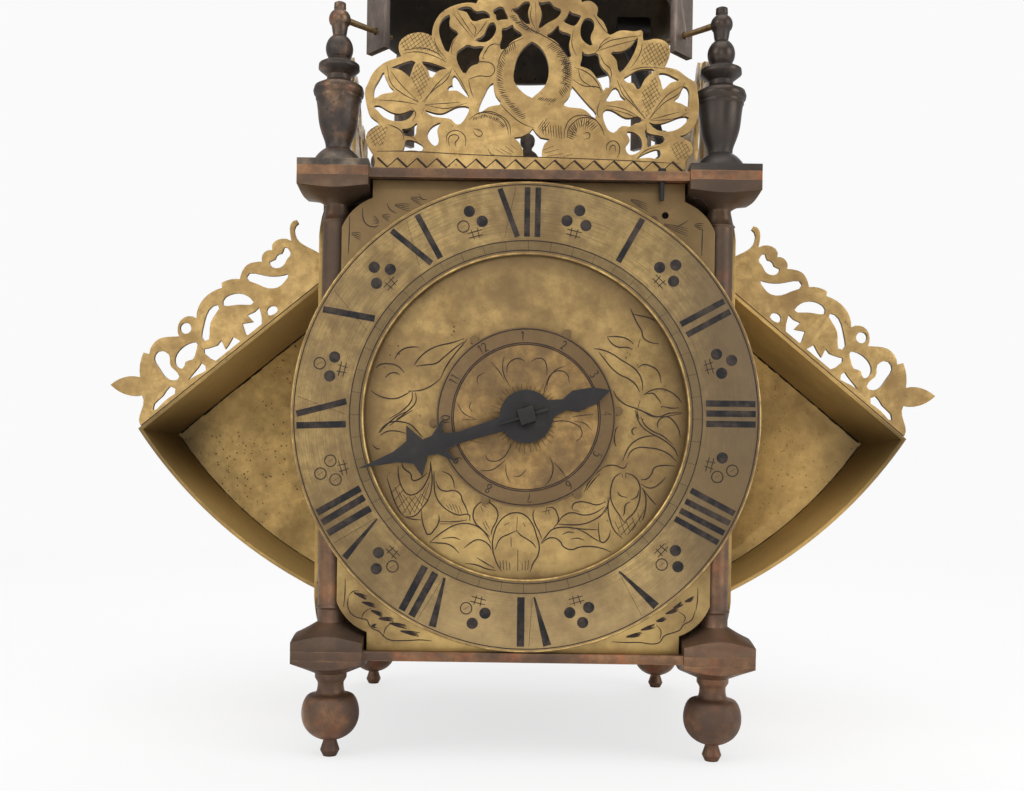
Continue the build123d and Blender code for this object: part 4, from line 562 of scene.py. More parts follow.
def settle(piece, name, finish, body):
    # a finished piece: its place goes into its mesh, then it rides on its body
    makeActive(piece)
    if piece.type != 'MESH':
        bpy.ops.object.convert(target='MESH')
        piece = bpy.context.object
    bpy.ops.object.transform_apply(location=True, rotation=True, scale=True)
    piece.name = name
    piece.data.materials.clear()
    piece.data.materials.append(finishes[finish])
    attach(piece, body)


def joinUp(parts):
    makeActive(parts[0])
    for part in parts:
        part.select_set(True)
    bpy.ops.object.join()
    return bpy.context.object


# lines cut into a flat face that looks to the front: points are (x, z) in mm,
# a stroke may begin with its weight, and both its ends run out thin
thinEnd = 0.45


def cutLines(name, strokes, front, body, slotName, width, finish="engraving", closed=False):
    curve = bpy.data.curves.new(name, 'CURVE')
    curve.dimensions = '3D'
    curve.bevel_depth = width / 2 * mm
    curve.bevel_resolution = 1
    curve.resolution_u = 5
    curve.use_fill_caps = True
    for stroke in strokes:
        weight = 1.0
        if isinstance(stroke[0], (int, float)):
            weight, stroke = stroke[0], stroke[1:]
        last = len(stroke) - 1
        spline = curve.splines.new('BEZIER')
        spline.bezier_points.add(last)
        for index, (point, (x, z)) in enumerate(zip(spline.bezier_points, stroke)):
            point.co = (x * mm, front * mm, z * mm)
            point.handle_left_type = point.handle_right_type = 'AUTO' if last > 1 else 'VECTOR'
            point.radius = weight * (thinEnd if index in (0, last) and not closed else 1.0)
        spline.use_cyclic_u = closed
    piece = bpy.data.objects.new(name, curve)
    bpy.context.scene.collection.objects.link(piece)
    settle(piece, name, finish, body)


def polar(reach, degrees, height=dialHeight):
    turn = math.radians(degrees)
    return (reach * math.sin(turn), height + reach * math.cos(turn))


def circle(reach, count=48):
    return [polar(reach, 360 * k / count) for k in range(count)]


frontOf = {name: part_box(name)[0].y / mm
           for name in ("chapter_ring", "dial_plate", "alarm_disc", "front_fret")}

# chapter ring: rims, quarter track, wax numerals, dots and half-hour marks
ring = {
    "outer": 83.2, "inner": 57.2, "track": 62.2, "trackFoot": 1.2, "quarters": 48,
    "innerLine": 1.6, "outerLine": 1.3, "lineWidth": 0.36, "cutWidth": 0.3,
    "outerRim": 0.45, "innerRim": 0.5, "rimWidth": 0.8, "rimWeight": 0.65, "rimDepth": 0.1,
    "numeralOut": 81.0, "numeralIn": 63.6, "waxProud": 0.08, "waxRoot": 0.05,
    "dotRadius": 2.0, "dotSides": 20, "dotInset": 0.25, "dotIn": 70.7, "dotOut": 75.2,
    "dotSpread": 2.8, "dotsTurn": -1.2,
    "hollow": [(math.cos(a * math.pi / 5), math.sin(a * math.pi / 5)) for a in range(10)],
    "hollowWidth": 0.4, "scratch": [(-0.8, -0.5), (0.9, 0.6)],
    # the crossed mark of a half hour: its two bars each way, half lengths in mm and in degrees
    "markReach": 67.0, "markShift": 0.8, "markHalf": 1.7, "markTurn": 2.2, "markWeight": 2.4,
    "markSplay": (1.2, 1.1),
    # each stroke: turn at its outer and inner end, width at its outer and inner end
    "strokes": [
        (-7.3, -3.5, 1.9, 1.9), (-0.4, -0.5, 2.0, 2.0), (2.3, 2.8, 2.0, 2.0),
        (29.7, 29.9, 2.1, 2.1),
        (58.9, 58.3, 2.1, 2.1), (61.9, 62.2, 2.1, 2.1),
        (86.0, 84.9, 2.2, 2.2), (88.5, 88.1, 2.2, 2.2), (91.1, 91.4, 2.2, 2.2),
        (114.1, 113.2, 2.1, 2.1), (116.8, 117.0, 2.1, 2.1), (119.6, 120.4, 2.1, 2.1),
        (122.4, 123.5, 2.1, 2.1),
        (144.7, 148.1, 2.8, 0.6),
        (173.9, 176.6, 2.9, 0.6), (180.6, 180.8, 2.6, 2.6),
        (203.3, 206.0, 2.7, 0.8), (209.1, 209.4, 2.5, 2.5), (212.0, 213.3, 2.5, 2.5),
        (231.4, 234.8, 2.3, 0.6), (238.8, 238.8, 2.4, 2.4), (241.8, 242.8, 2.4, 2.4),
        (244.6, 245.9, 2.4, 2.4),
        (267.1, 266.9, 2.3, 2.3), (270.0, 274.2, 2.2, 2.2),
        (297.2, 302.2, 2.3, 2.3),
        (323.4, 327.6, 2.1, 2.1), (330.9, 330.9, 2.1, 2.1),
    ],
    # thin strokes, cut and not filled
    "hairlines": [(-3.3, -7.6), (149.0, 148.4), (178.5, 177.2), (207.4, 206.4), (235.9, 235.2),
                  (274.4, 270.0), (302.6, 297.6), (327.9, 323.4)],
    # half hours whose dots have lost wax, and which dots
    "emptyDots": {105: (1, 2), 135: (1,), 195: (1,), 225: (0,), 255: (0, 1, 2), 285: (2,), 345: (0,)},
}
ringFront = frontOf["chapter_ring"]


def addBar(outerTurn, innerTurn, outerWidth, innerWidth):
    ends = [Vector(polar(ring["numeralOut"], outerTurn)), Vector(polar(ring["numeralIn"], innerTurn))]
    along = (ends[1] - ends[0]).normalized()
    side = Vector((along.y, -along.x))
    bpy.ops.mesh.primitive_plane_add(size=1, location=(0, 0, 0))
    bar = bpy.context.object
    corners = [ends[0] + side * outerWidth / 2, ends[0] - side * outerWidth / 2,
               ends[1] + side * innerWidth / 2, ends[1] - side * innerWidth / 2]
    for vertex, corner in zip(bar.data.vertices, corners):
        vertex.co = (corner.x * mm, (ringFront + ring["waxRoot"]) * mm, corner.y * mm)
    rise = (0, -(ring["waxProud"] + ring["waxRoot"]) * mm, 0)
    makeActive(bar)
    bpy.ops.object.mode_set(mode='EDIT')
    bpy.ops.mesh.select_all(action='SELECT')
    bpy.ops.mesh.subdivide(number_cuts=2)
    bpy.ops.mesh.extrude_region_move(TRANSFORM_OT_translate={"value": rise})
    bpy.ops.mesh.select_all(action='SELECT')
    bpy.ops.mesh.normals_make_consistent(inside=False)
    bpy.ops.object.mode_set(mode='OBJECT')
    return bar


def addDot(x, z):
    radius, proud = ring["dotRadius"] * mm, ring["waxProud"] * mm
    bpy.ops.mesh.primitive_cylinder_add(vertices=ring["dotSides"], radius=radius, depth=2 * proud,
                                        location=(x * mm, ringFront * mm, z * mm),
                                        rotation=(math.pi / 2, 0, 0))
    dot = bpy.context.object
    bpy.ops.object.mode_set(mode='EDIT')
    bpy.ops.mesh.select_mode(type='FACE')
    bpy.ops.mesh.select_all(action='SELECT')
    bpy.ops.mesh.inset(thickness=ring["dotInset"] * radius, depth=0)
    bpy.ops.object.mode_set(mode='OBJECT')
    return dot


bars = [addBar(*stroke) for stroke in ring["strokes"]]
filled, marks, hollows = [], [], []
for halfHour in range(15, 360, 30):
    dotsTurn = halfHour + ring["dotsTurn"]
    dots = [(ring["dotIn"], dotsTurn - ring["dotSpread"]), (ring["dotIn"], dotsTurn + ring["dotSpread"]),
            (ring["dotOut"], dotsTurn)]
    for index, dot in enumerate(dots):
        x, z = polar(*dot)
        if index in ring["emptyDots"].get(halfHour, ()):
            radius = ring["dotRadius"]
            hollows.append([(x + radius * right, z + radius * up) for right, up in ring["hollow"]])
            marks.append([(x + right, z + up) for right, up in ring["scratch"]])
        else:
            filled.append(addDot(x, z))
    middle, half, turned = ring["markReach"], ring["markHalf"], ring["markTurn"]
    lengthSplay, turnSplay = ring["markSplay"]
    for shift in (-ring["markShift"], ring["markShift"]):
        marks.append([ring["markWeight"], polar(middle - half, dotsTurn + shift),
                      polar(middle + half, dotsTurn + shift * lengthSplay)])
        marks.append([ring["markWeight"], polar(middle + shift, dotsTurn - turned),
                      polar(middle + shift * turnSplay, dotsTurn + turned)])
settle(joinUp(bars), "wax_numerals", "blackWax", "frame")
settle(joinUp(filled), "wax_dots", "blackWax", "frame")
for outer, inner in ring["hairlines"]:
    marks.append([polar(ring["numeralOut"], outer), polar(ring["numeralIn"], inner)])
for quarter in range(ring["quarters"]):
    turn = quarter * 360 / ring["quarters"]
    marks.append([polar(ring["inner"] + ring["trackFoot"], turn), polar(ring["track"], turn)])
lines = [circle(ring["track"]), circle(ring["inner"] + ring["innerLine"]),
         circle(ring["outer"] - ring["outerLine"])]
rims = [[ring["rimWeight"]] + circle(ring["outer"] - ring["outerRim"]),
        circle(ring["inner"] + ring["innerRim"])]
cutLines("ring_marks", marks, ringFront, "frame", "ring_brass", width=ring["cutWidth"])
cutLines("ring_hollows", hollows, ringFront, "frame", "ring_brass", width=ring["hollowWidth"], closed=True)
cutLines("ring_circles", lines, ringFront, "frame", "ring_brass", width=ring["lineWidth"], closed=True)
cutLines("ring_rims", rims, ringFront + ring["rimDepth"], "frame", "ring_brass", finish="rubbedBrass",
         width=ring["rimWidth"], closed=True)
print("chapter ring ready")

hand = random.Random(12)


def hatch(path, reach, gap, lean, lengths=(0.7, 1.1), gaps=(0.8, 1.2)):
    # short strokes from a path of (x, z) towards one side
    strokes, along = [], gap / 2
    for first, second in zip(path, path[1:]):
        start, end = Vector(first), Vector(second)
        forward = (end - start).normalized()
        aside = Vector((-forward.y, forward.x)) + forward * lean
        while along < (end - start).length:
            root = start + forward * along
            tip = root + aside * reach * hand.uniform(*lengths)
            strokes.append([tuple(root), tuple(root.lerp(tip, 0.5)), tuple(tip)])
            along += gap * hand.uniform(*gaps)
        along -= (end - start).length
    return strokes


def netWithin(corners, gap, turns):
    # crossed rows of lines inside an outline of (x, z)
    strokes = []
    for turn in turns:
        forward = Vector((math.cos(math.radians(turn)), math.sin(math.radians(turn))))
        aside = Vector((-forward.y, forward.x))
        levels = [Vector(corner).dot(aside) for corner in corners]
        level = min(levels) + gap / 2
        while level < max(levels):
            crossings = []
            for first, second in zip(corners, corners[1:] + corners[:1]):
                low, high = Vector(first).dot(aside) - level, Vector(second).dot(aside) - level
                if low * high < 0:
                    crossings.append(Vector(first).lerp(Vector(second), low / (low - high)).dot(forward))
            crossings.sort()
            for start, end in zip(crossings[::2], crossings[1::2]):
                strokes.append([tuple(forward * along + aside * level) for along in (start, end)])
            level += gap
    return strokes


def raised(strokes, height):
    return [[part if isinstance(part, float) else (part[0], part[1] + height) for part in stroke]
            for stroke in strokes]


# the filed end of the hour arbor, dark as the hand is
arbor = {"half": 2.75, "back": -81.4, "front": -88.2, "turn": 198, "filed": 0.3}
arborLength = arbor["back"] - arbor["front"]
bpy.ops.mesh.primitive_cube_add(size=2, rotation=(0, -math.radians(arbor["turn"]), 0),
                                location=(0, (arbor["back"] + arbor["front"]) / 2 * mm, dialHeight * mm),
                                scale=(arbor["half"] * mm, arborLength / 2 * mm, arbor["half"] * mm))
arborEnd = bpy.context.object
soften(arborEnd, arbor["filed"])
settle(arborEnd, "arbor_end", "blackIron", bodyOf["hour_wheel"])

# dial centre: flowers, leaves and a tulip, from the dial's middle
flowers = [
    # left shell
    [(-49, -22.1), (-47.5, -26.6), (-46.1, -30.5), (-44.3, -33.9), (-42.6, -35.9)],
    [(-45.1, -17.7), (-44.8, -22), (-43.6, -25.4), (-41.5, -27.9), (-39.3, -27.9), (-37, -26.4),
     (-34.8, -23), (-33.7, -19.6), (-33.6, -16.2)],
    [(-44, -16.3), (-43.1, -18.6), (-40.5, -20.8), (-39.9, -22.8), (-37.1, -22.2), (-34.8, -20.2)],
    [(-33.5, -16.7), (-33, -20.7), (-33.1, -25.2), (-34.1, -29.2), (-36.4, -32.7), (-39.2, -35.6),
     (-42.6, -35.9)],
    [(-46.1, -25.4), (-42, -34.5)], [(-44.7, -27.1), (-40.3, -35)], [(-43, -28.2), (-38.9, -34.4)],
    [(-41, -28.8), (-37.5, -33.3)], [(-39, -28.4), (-36.1, -32.1)], [(-37, -27.6), (-34.7, -29.8)],
    [(-47.5, -27.7), (-44.4, -24.3)], [(-46.1, -30), (-43.3, -26.5)], [(-44.9, -32.8), (-41.5, -28.8)],
    [(-43.2, -34.8), (-39.3, -29)], [(-40.9, -35), (-37, -28.1)], [(-38.9, -34.1), (-35.1, -25.3)],
    [(-36.7, -32.1), (-33.9, -23.5)],
    # left stem
    [(-42.6, -35.9), (-39.7, -36.7), (-36.6, -36.9)],
    [(-36.6, -33.2), (-36.2, -37.2), (-35.1, -40.6), (-34.2, -42), (-31.7, -40), (-30.3, -37.1),
     (-30.4, -35.1)],
    [(-30.3, -37.4), (-23.8, -37.3), (-20.4, -36.7)], [(-29.8, -38.2), (-25.5, -38.2)],
    # left leaf
    [(-32.3, -19.5), (-32.2, -23.5), (-31.6, -28.1), (-29.6, -31.4), (-26.7, -33.7), (-23.3, -35),
     (-19.6, -35), (-19.5, -37)],
    [(-31.7, -22.9), (-30.2, -25.8), (-27.9, -26.6), (-25.1, -26.3), (-22.8, -27.7), (-22.2, -29.6),
     (-21, -31.9), (-19.9, -34.7)],
    [(-29.4, -19.5), (-26.3, -21.2), (-24.8, -25.7)], [(-27.9, -31.4), (-26.7, -32.8)],
    [(-26.7, -31.1), (-25.6, -33.4)], [(-25.6, -31.1), (-24.4, -33.9)], [(-24.5, -31.4), (-23.3, -34.2)],
    [(-23.3, -31.9), (-22.1, -34.5)],
    # low left leaves
    [(-33.6, -44.9), (-30.6, -42.3), (-27.7, -40.2), (-23.8, -38.3), (-19.2, -38.1), (-15.8, -39.5),
     (-13.5, -41.7), (-11.8, -44.8)],
    [(-33.4, -44.9), (-30.5, -45), (-27.7, -45.2), (-25.4, -46.2), (-23.1, -48.4)],
    [(-21.4, -46.7), (-19.1, -44.9), (-16.9, -43.7), (-14.6, -44), (-12.3, -45.7), (-11.6, -47.2)],
    [(-29.1, -43.4), (-24.9, -43), (-22.6, -43.8)],
    [(-20.8, -52.1), (-16.8, -52.6), (-13.3, -53.9), (-9.9, -54.5)],
    [(-16.8, -50), (-13.9, -51.7), (-10.5, -53.6)],
    # tulip
    [(-7.9, -54.7), (-9.7, -51.6), (-11.2, -46), (-10.7, -41.4), (-9, -37.4), (-5.7, -34.5), (-2.8, -33.9),
     (0, -34.6), (3, -38.1), (4.4, -42), (5.4, -45.7), (4.9, -49.1), (3.2, -52), (2.4, -54.7)],
    [(-2.5, -35.3), (-2.7, -40.2)], [(-2.7, -40.2), (-5.6, -41.6), (-8.4, -43.1), (-10.3, -47.1)],
    [(-2.7, -40.2), (-1.3, -41.8), (0.7, -43), (3, -44.6), (4.3, -46.3)], [(-4.7, -42.5), (-4.5, -45.9)],
    [(-2.2, -47), (-2.1, -54.6)], [(-8.5, -51), (-8.2, -53.6)], [(-7.4, -50.7), (-7.1, -54.1)],
    [(-6.3, -51), (-5.9, -54.4)], [(-5.1, -51.6), (-4.9, -54.4)], [(-0.6, -51.5), (-0.5, -54.3)],
    [(0.5, -50.9), (0.5, -54.3)], [(1.7, -50.6), (1.4, -54)], [(-7.3, -38.5), (-5.3, -37.4)],
    [(-0.5, -37.3), (0.4, -39)],
    # left bud
    [(-14, -29.5), (-16.8, -31.3), (-18.2, -34.1), (-17.5, -37.5), (-15.2, -39.8), (-12.1, -42.6)],
    [(-14, -29.5), (-11.4, -31.2), (-9.5, -34), (-9.9, -36.9), (-11.3, -39.7), (-11.8, -42)],
    [(-15.6, -31.8), (-14.8, -33.6)], [(-15.1, -31.2), (-13.5, -32.1)], [(-14.7, -37.5), (-13.2, -40.3)],
    [(-13.9, -36.9), (-12.4, -39.7)],
    # left blades
    [(-52.1, -6.2), (-50.4, -3.9), (-47.6, -2.3), (-44.2, -2.2), (-40.8, -3.2), (-38.5, -5.4),
     (-36.7, -7.4)],
    [(-51.5, -7), (-49.2, -5.7), (-45.8, -5.5), (-42.4, -6.3)],
    [(-51.8, -6.2), (-49.3, -3.3), (-45.9, -0.4), (-41.4, 1.9)], [(-48.4, -3.6), (-44.8, -1), (-40.3, 1.9)],
    [(-54.3, -10.5), (-52.6, -11.9), (-51.4, -11.9)],
    # right leaves
    [(38.8, 3), (39.4, 0.8), (41.2, -2.6), (44.1, -4.8), (47.5, -6.5), (50.9, -8.7), (53.2, -11),
     (54.1, -13.2)],
    [(40.8, 0.8), (42, -1.7), (44.6, -4), (48.6, -5.9), (52.4, -9)],
    [(41.7, 2.5), (44.5, 1.1), (47.4, 0.9), (50.8, 2.1), (55.3, 2.4)],
    [(46.9, -3.1), (46.8, -1.4), (48, 0.3), (50.2, 0.9), (52.5, -0.7), (54.3, -3.6), (54.9, -6.4)],
    [(38.7, -5.8), (37.8, -4.9), (38.1, -3.5), (39.5, -3.1)],
    [(32.7, -2.7), (31.8, -4.4), (31.6, -7.9), (32.2, -10.1)],
    [(34.5, -15.2), (35.6, -12.3), (36.7, -10.1), (39, -7.8), (42.4, -6.3), (46.3, -5.9)],
    [(36.2, -14), (37.3, -11.8), (39.6, -10.3), (43.6, -10.2), (47.5, -10.8), (51, -12.4), (53.6, -14.9)],
    # right flower
    [(27.2, -17.7), (29.4, -16.7), (32.3, -16.7), (35.1, -17.5), (36.3, -15.7)],
    [(21.1, -26.2), (22.7, -22.8), (24.9, -19.9), (27.2, -17.9)],
    [(21.9, -25.6), (23.8, -22.7), (26.6, -19.6)],
    [(34, -19.2), (31.8, -20.9), (30.7, -23.8), (30.4, -27.2), (31.3, -30.6), (33.1, -33.4), (35.4, -36.8)],
    [(35.7, -19.2), (38.6, -20.3), (40.6, -23.1), (40.9, -26.5), (40.4, -29.9), (38.8, -33.3),
     (36.5, -35.6), (35.4, -36.8)],
    [(33, -26), (33.6, -27.1), (36.4, -28)], [(40.4, -25.3), (39.8, -27.6), (37.6, -28.8)],
    [(37.6, -29.4), (35.9, -30.5), (35.4, -33.4), (35.1, -34.5)], [(34.3, -19.5), (34.7, -20.9)],
    [(35.7, -19.4), (35.8, -21.2)],
    [(30.2, -27.8), (29.6, -31.2), (30.3, -35.7), (32, -39.7), (34.9, -42.5)],
    [(41.5, -24.2), (42.8, -27), (43, -31), (42.2, -35), (41.7, -36.1)],
    [(41.5, -24.2), (45, -28.7), (46.7, -30.4)], [(32, -36.3), (33.8, -40.2)], [(33.7, -35.1), (36, -41.3)],
    [(36, -36.2), (37.7, -40.2)], [(38.2, -35), (39.4, -38.4)], [(40.2, -33.3), (41.1, -36.7)],
    [(33.2, -39.1), (36, -36.8)], [(34.3, -41.3), (38.8, -36.2)], [(36.6, -41.3), (41.6, -34.4)],
    [(38.3, -39.6), (42.7, -32.1)],
    [(41.2, -21.6), (43.1, -21.3), (44.8, -19.6), (45.9, -17.3), (48.8, -16.4), (53.3, -16.6)],
    [(41.2, -23.1), (43.8, -24.4), (46, -24.1), (48.3, -22.4), (50, -20.4)],
    # right stem
    [(16.9, -32.5), (17.1, -30.8), (19.4, -29.7), (22.2, -29.9), (25.7, -30.7), (28.8, -29.5)],
    [(17.2, -32.6), (19.4, -33.1)],
    [(12.1, -37.1), (13.8, -34.8), (16.6, -33.6), (21.2, -34.4), (25.1, -33.5), (28.5, -31.2)],
    [(11.6, -37.7), (15.5, -37.9), (20.6, -37.6), (24, -36.4), (27.4, -34.1), (29.1, -31.2)],
    [(29.6, -27.8), (29.4, -31.2), (28.5, -33.5)],
    # low right leaves
    [(6, -44.6), (7.6, -42.3), (9.9, -39.7), (13.8, -38.8), (19.5, -39.3), (26.4, -39.5)],
    [(6.3, -44.7), (8.2, -43), (10.5, -42.6), (12.8, -43.9), (13.9, -45.6), (16.8, -46.7), (19.6, -45.8),
     (23.6, -45.5), (27.6, -46.1), (31, -47.4)],
    [(19, -39.4), (21.8, -40.7), (24.7, -42.6), (27.6, -44)], [(13.6, -41.4), (15.6, -40.5), (17.8, -40.7)],
    [(16.7, -43), (19, -42.6), (21.3, -43.3)],
    [(26.3, -36.9), (26.7, -42), (27.6, -44), (29.8, -42.5), (30.6, -39.7)],
    # right bud
    [(3.5, -32.7), (3, -34.4), (3.6, -37.2), (5.3, -40.6), (6.2, -42.9)],
    [(7.8, -31.8), (10.3, -32.1), (11.8, -34.6), (12.1, -36.5), (10.4, -39.1)],
    [(6.4, -33.5), (9.2, -32.7)], [(7.8, -31.9), (7.5, -34.3)], [(8.4, -32.6), (8.8, -34.3)],
    # upper left leaves
    [(-55.1, 8.8), (-52.8, 7.2), (-49.4, 6.1), (-46, 6.1), (-43.2, 7.3), (-40.9, 8.7)],
    [(-39.2, 8.2), (-39.1, 5.1), (-42, 1.6), (-45.9, -1.3)],
    [(-40.4, 8.4), (-40.6, 5.6), (-43.7, 1.9), (-48.7, -1.3)],
    [(-41.8, 8.7), (-37.5, 9.1), (-33.6, 10.8), (-30.5, 13.3)],
    [(-30.5, 13.4), (-28.5, 17.7), (-25.8, 21.7), (-23, 25.2), (-21.3, 27.4)],
    [(-39.9, 17.9), (-38.2, 20.4), (-34.9, 23.3), (-30.9, 25.1), (-27, 26), (-22.2, 27.6)],
    [(-39.3, 17.6), (-35.9, 18.1), (-32, 18.8), (-29.2, 21.1), (-25.8, 24), (-22.4, 26.6)],
    [(-46.8, 20), (-45.7, 22), (-43.4, 23.8), (-40.6, 24.4), (-38.3, 24.4)],
    [(-53.5, 16.8), (-51.9, 18), (-48.4, 18.3), (-45.6, 17.5), (-43.3, 15.2)],
    [(-50.1, 13.4), (-48.4, 14.9), (-46.1, 15.1), (-45, 14.4)],
    # upper right leaves
    [(28.5, 29), (32.2, 29.1), (35.6, 28.3), (37.8, 26.7)],
    [(28.5, 28.8), (30, 26.8), (32.3, 25.4), (35.7, 25.3), (37.5, 24.6)],
    [(36.6, 39.1), (37.5, 37.1), (39, 34), (40.7, 31.2), (41.3, 28.9), (43.6, 27.3), (47, 26.7)],
    [(37.5, 37.1), (40.1, 36.6), (43.5, 35.8), (46.1, 34.4)],
    [(23.7, 24.7), (26, 24.5), (30, 23.1), (33.5, 20.9), (36.9, 18.9), (39.2, 17), (41, 13.6),
     (41.3, 10.2)],
    [(25.5, 23.6), (27.8, 20.8), (30.1, 18), (33, 15.7), (36.4, 14.1), (39, 11.9), (40.2, 9.6)],
    [(39.5, 18.1), (41.4, 19.3), (44.3, 18.7), (46.6, 17.1), (47.9, 12.8)], [(40.2, 28.4), (39.4, 25.4)],
    [(30.8, 10), (32.5, 7.2), (35.4, 5), (39.4, 3.6), (42.8, 2.2), (46.2, 0.9), (55.3, 2.1)],
    [(41.6, 8.5), (44.4, 10.2), (47.8, 10.8), (50.7, 10), (53.5, 8.1), (55.3, 5.8)],
    [(42.2, 8.8), (45, 9.1), (46.7, 7.4), (47.9, 5.7)], [(48.5, 4.6), (51.3, 4), (54.2, 4.1)],
    [(39.7, 3.9), (40.5, 6.5)], [(39.4, 3.3), (39.7, 1.4), (40.3, -0.1)],
]

# dial corners: the borders of the leaves and the leaves, each leaf by its root and tip
cornerBorders = [
    # lower left
    [(-62.1, -64.6), (-62.3, -66.6), (-62, -68.8), (-60.3, -71.1), (-57.4, -72.2), (-55.4, -72.7),
     (-54.5, -74.4), (-53.1, -75.8), (-51.1, -76.6), (-49.4, -78.3), (-47.6, -79.5), (-42, -79.8),
     (-35.7, -79.5), (-32.3, -79.8)],
    [(-63.3, -58.1), (-63.3, -63.2), (-63.7, -68)], [(-62.1, -64.3), (-60.4, -62.6), (-58.4, -62.4)],
    [(-57.4, -72.2), (-56.3, -69.9), (-53.8, -68.4)], [(-49.4, -78.2), (-48.7, -75.5), (-46, -73.2)],
    # lower right
    [(61.9, -59.7), (61.8, -64.3), (61.3, -67.7)],
    [(61.1, -67.7), (59.8, -71.1), (56.9, -72.9), (55.8, -74.6), (53, -75.8), (50.2, -76.9), (48.5, -79.2),
     (45.7, -79.8), (41.7, -79.3), (37.1, -79.4), (31.5, -79.2)],
    [(47.3, -73), (49, -75.2), (48.6, -78.1)], [(55.2, -68.3), (57.5, -70), (56.9, -72.3)],
    # upper left
    [(-63.5, 70.7), (-63.6, 63.3), (-63.8, 57)],
    [(-58.9, 73.6), (-58.8, 70.2), (-57.7, 67.9), (-54.8, 66.8), (-53.1, 67.4)],
    [(-50.4, 75.4), (-49.2, 73.1), (-46.9, 71.7)], [(-39.1, 78.7), (-37.9, 77), (-36.2, 76.7)],
    # upper right
    [(61.8, 67.9), (61.7, 62.8), (61.6, 58.2)], [(52.7, 68.3), (54.4, 69.2), (56.6, 70.6)],
    [(58.2, 78.6), (61.1, 78.4), (63.4, 75.8)],
]
cornerLeaves = [
    # lower left
    [(-60.1, -63.1), (-55.2, -64.9)], [(-57.2, -66.4), (-52.4, -67.5)], [(-54, -69.3), (-49.5, -70.9)],
    [(-51.2, -72.1), (-45.8, -72.3)], [(-47.4, -73.7), (-41.2, -74.9)], [(-43.4, -76.4), (-36.6, -77.6)],
    [(-53.7, -74.7), (-51.8, -74.7)],
    # lower right
    [(36.8, -77.4), (42.5, -76.2)], [(41.9, -74.9), (47, -73.3)], [(47.3, -71.7), (50.9, -70.7)],
    [(50.6, -69), (55.3, -67.2)], [(53.4, -66.8), (56.9, -65.2)], [(57.4, -64.6), (60.8, -63.3)],
    # upper left
    [(-52, 70.8), (-48.9, 70)], [(-47.5, 74.6), (-41.8, 73.8)], [(-41.9, 77.2), (-37.8, 76.1)],
    [(-62.7, 64.3), (-59, 63.3)], [(-53.1, 68.5), (-54.8, 69.6)],
    # upper right
    [(36.1, 77.7), (42.4, 75)], [(48.1, 69.1), (56.7, 66.4)], [(43.6, 71.6), (46.4, 69.9)],
    [(58.9, 69), (62.3, 68.4)],
]
# a leaf is brushed on in four strokes, finer in the upper corners
brush = {
    "lower": {"weight": 1.0, "shifts": (-0.55, -0.2, 0.15, 0.5)},
    "upper": {"weight": 0.55, "shifts": (-1.0, -0.35, 0.3, 0.95)},
    "rootShare": 0.3, "tipShare": 1.3, "tipLoss": 0.8,
}
brushed = []
for root, tip in cornerLeaves:
    strokes = brush["upper" if root[1] > 0 else "lower"]
    for shift in strokes["shifts"]:
        brushed.append([strokes["weight"], (root[0], root[1] + shift * brush["rootShare"]),
                        ((root[0] + tip[0]) / 2, (root[1] + tip[1]) / 2 + shift),
                        (tip[0] - hand.uniform(0, brush["tipLoss"]), tip[1] + shift * brush["tipShare"])])
plateCuts = [
    ("field_flowers", flowers, 0.5),
    ("corner_borders", cornerBorders, 0.4),
    ("corner_leaves", brushed, 0.5),
]
for name, strokes, width in plateCuts:
    cutLines(name, raised(strokes, dialHeight), frontOf["dial_plate"], "frame", "dial_brass", width=width)
print("dial centre ready")

# alarm disc: petals, figures, rays round the middle and circles
petals = [
    # upper leaves
    [(-5.6, 10.4), (-7.7, 14.1), (-8.5, 17.4), (-8, 21.2)],
    [(-6.9, 15.5), (-6.8, 17.9), (-5.5, 19.7), (-2.7, 20.6), (-0.7, 19.7)],
    [(1.6, 19.5), (3.5, 20.7), (5.9, 20.4), (7.1, 17.6), (7.1, 14.8)],
    # upper right leaf
    [(6, 7.7), (6.9, 11.5), (8.8, 15.3), (11.6, 16.5), (14.2, 15.4), (15.2, 12.1)],
    [(7.2, 9.6), (7.6, 12.9), (10.2, 16.7), (13.5, 18.2)],
    # right flower
    [(8.6, -1.8), (12.3, -1.2), (17.1, -2.1), (19.5, -4), (19.6, -6.6), (17.7, -8.5)],
    [(16.1, 0.2), (19, 0.7), (23.7, 1.3)], [(17.1, -1.2), (20.9, -2.1), (23.3, -4.4)],
    # lower right leaves
    [(8.7, -14.1), (9.8, -17.4), (8.9, -21.7), (7, -24.1)], [(10.2, -16), (12.6, -18.5), (14.5, -21.1)],
    # lower left leaves
    [(-6.9, -16.7), (-6.7, -20), (-5.3, -23.3)],
    [(-14, -13.5), (-13.5, -15), (-11.2, -15.8), (-8.3, -14.8), (-6, -11.9), (-5.1, -9.1)],
    [(-15.8, -19.2), (-12.1, -18.9), (-9.2, -17.2), (-7.1, -15.3)],
    # left leaves
    [(-19.4, 4.9), (-20, 3.3), (-19, 1.5)], [(-17, 11.1), (-17.3, 13.7), (-14.8, 15.5)],
    [(-24.2, 4.4), (-22.1, 1.1), (-17.9, -1)], [(-22.6, -1.3), (-17.4, -1.1)], [(-19.3, -8.6), (-15, -9.6)],
    [(-12.6, 19.3), (-9.7, 16), (-8, 13.2)],
    # foot
    [(-4, -20.9), (-2.1, -20.9), (0.5, -18.5)],
]
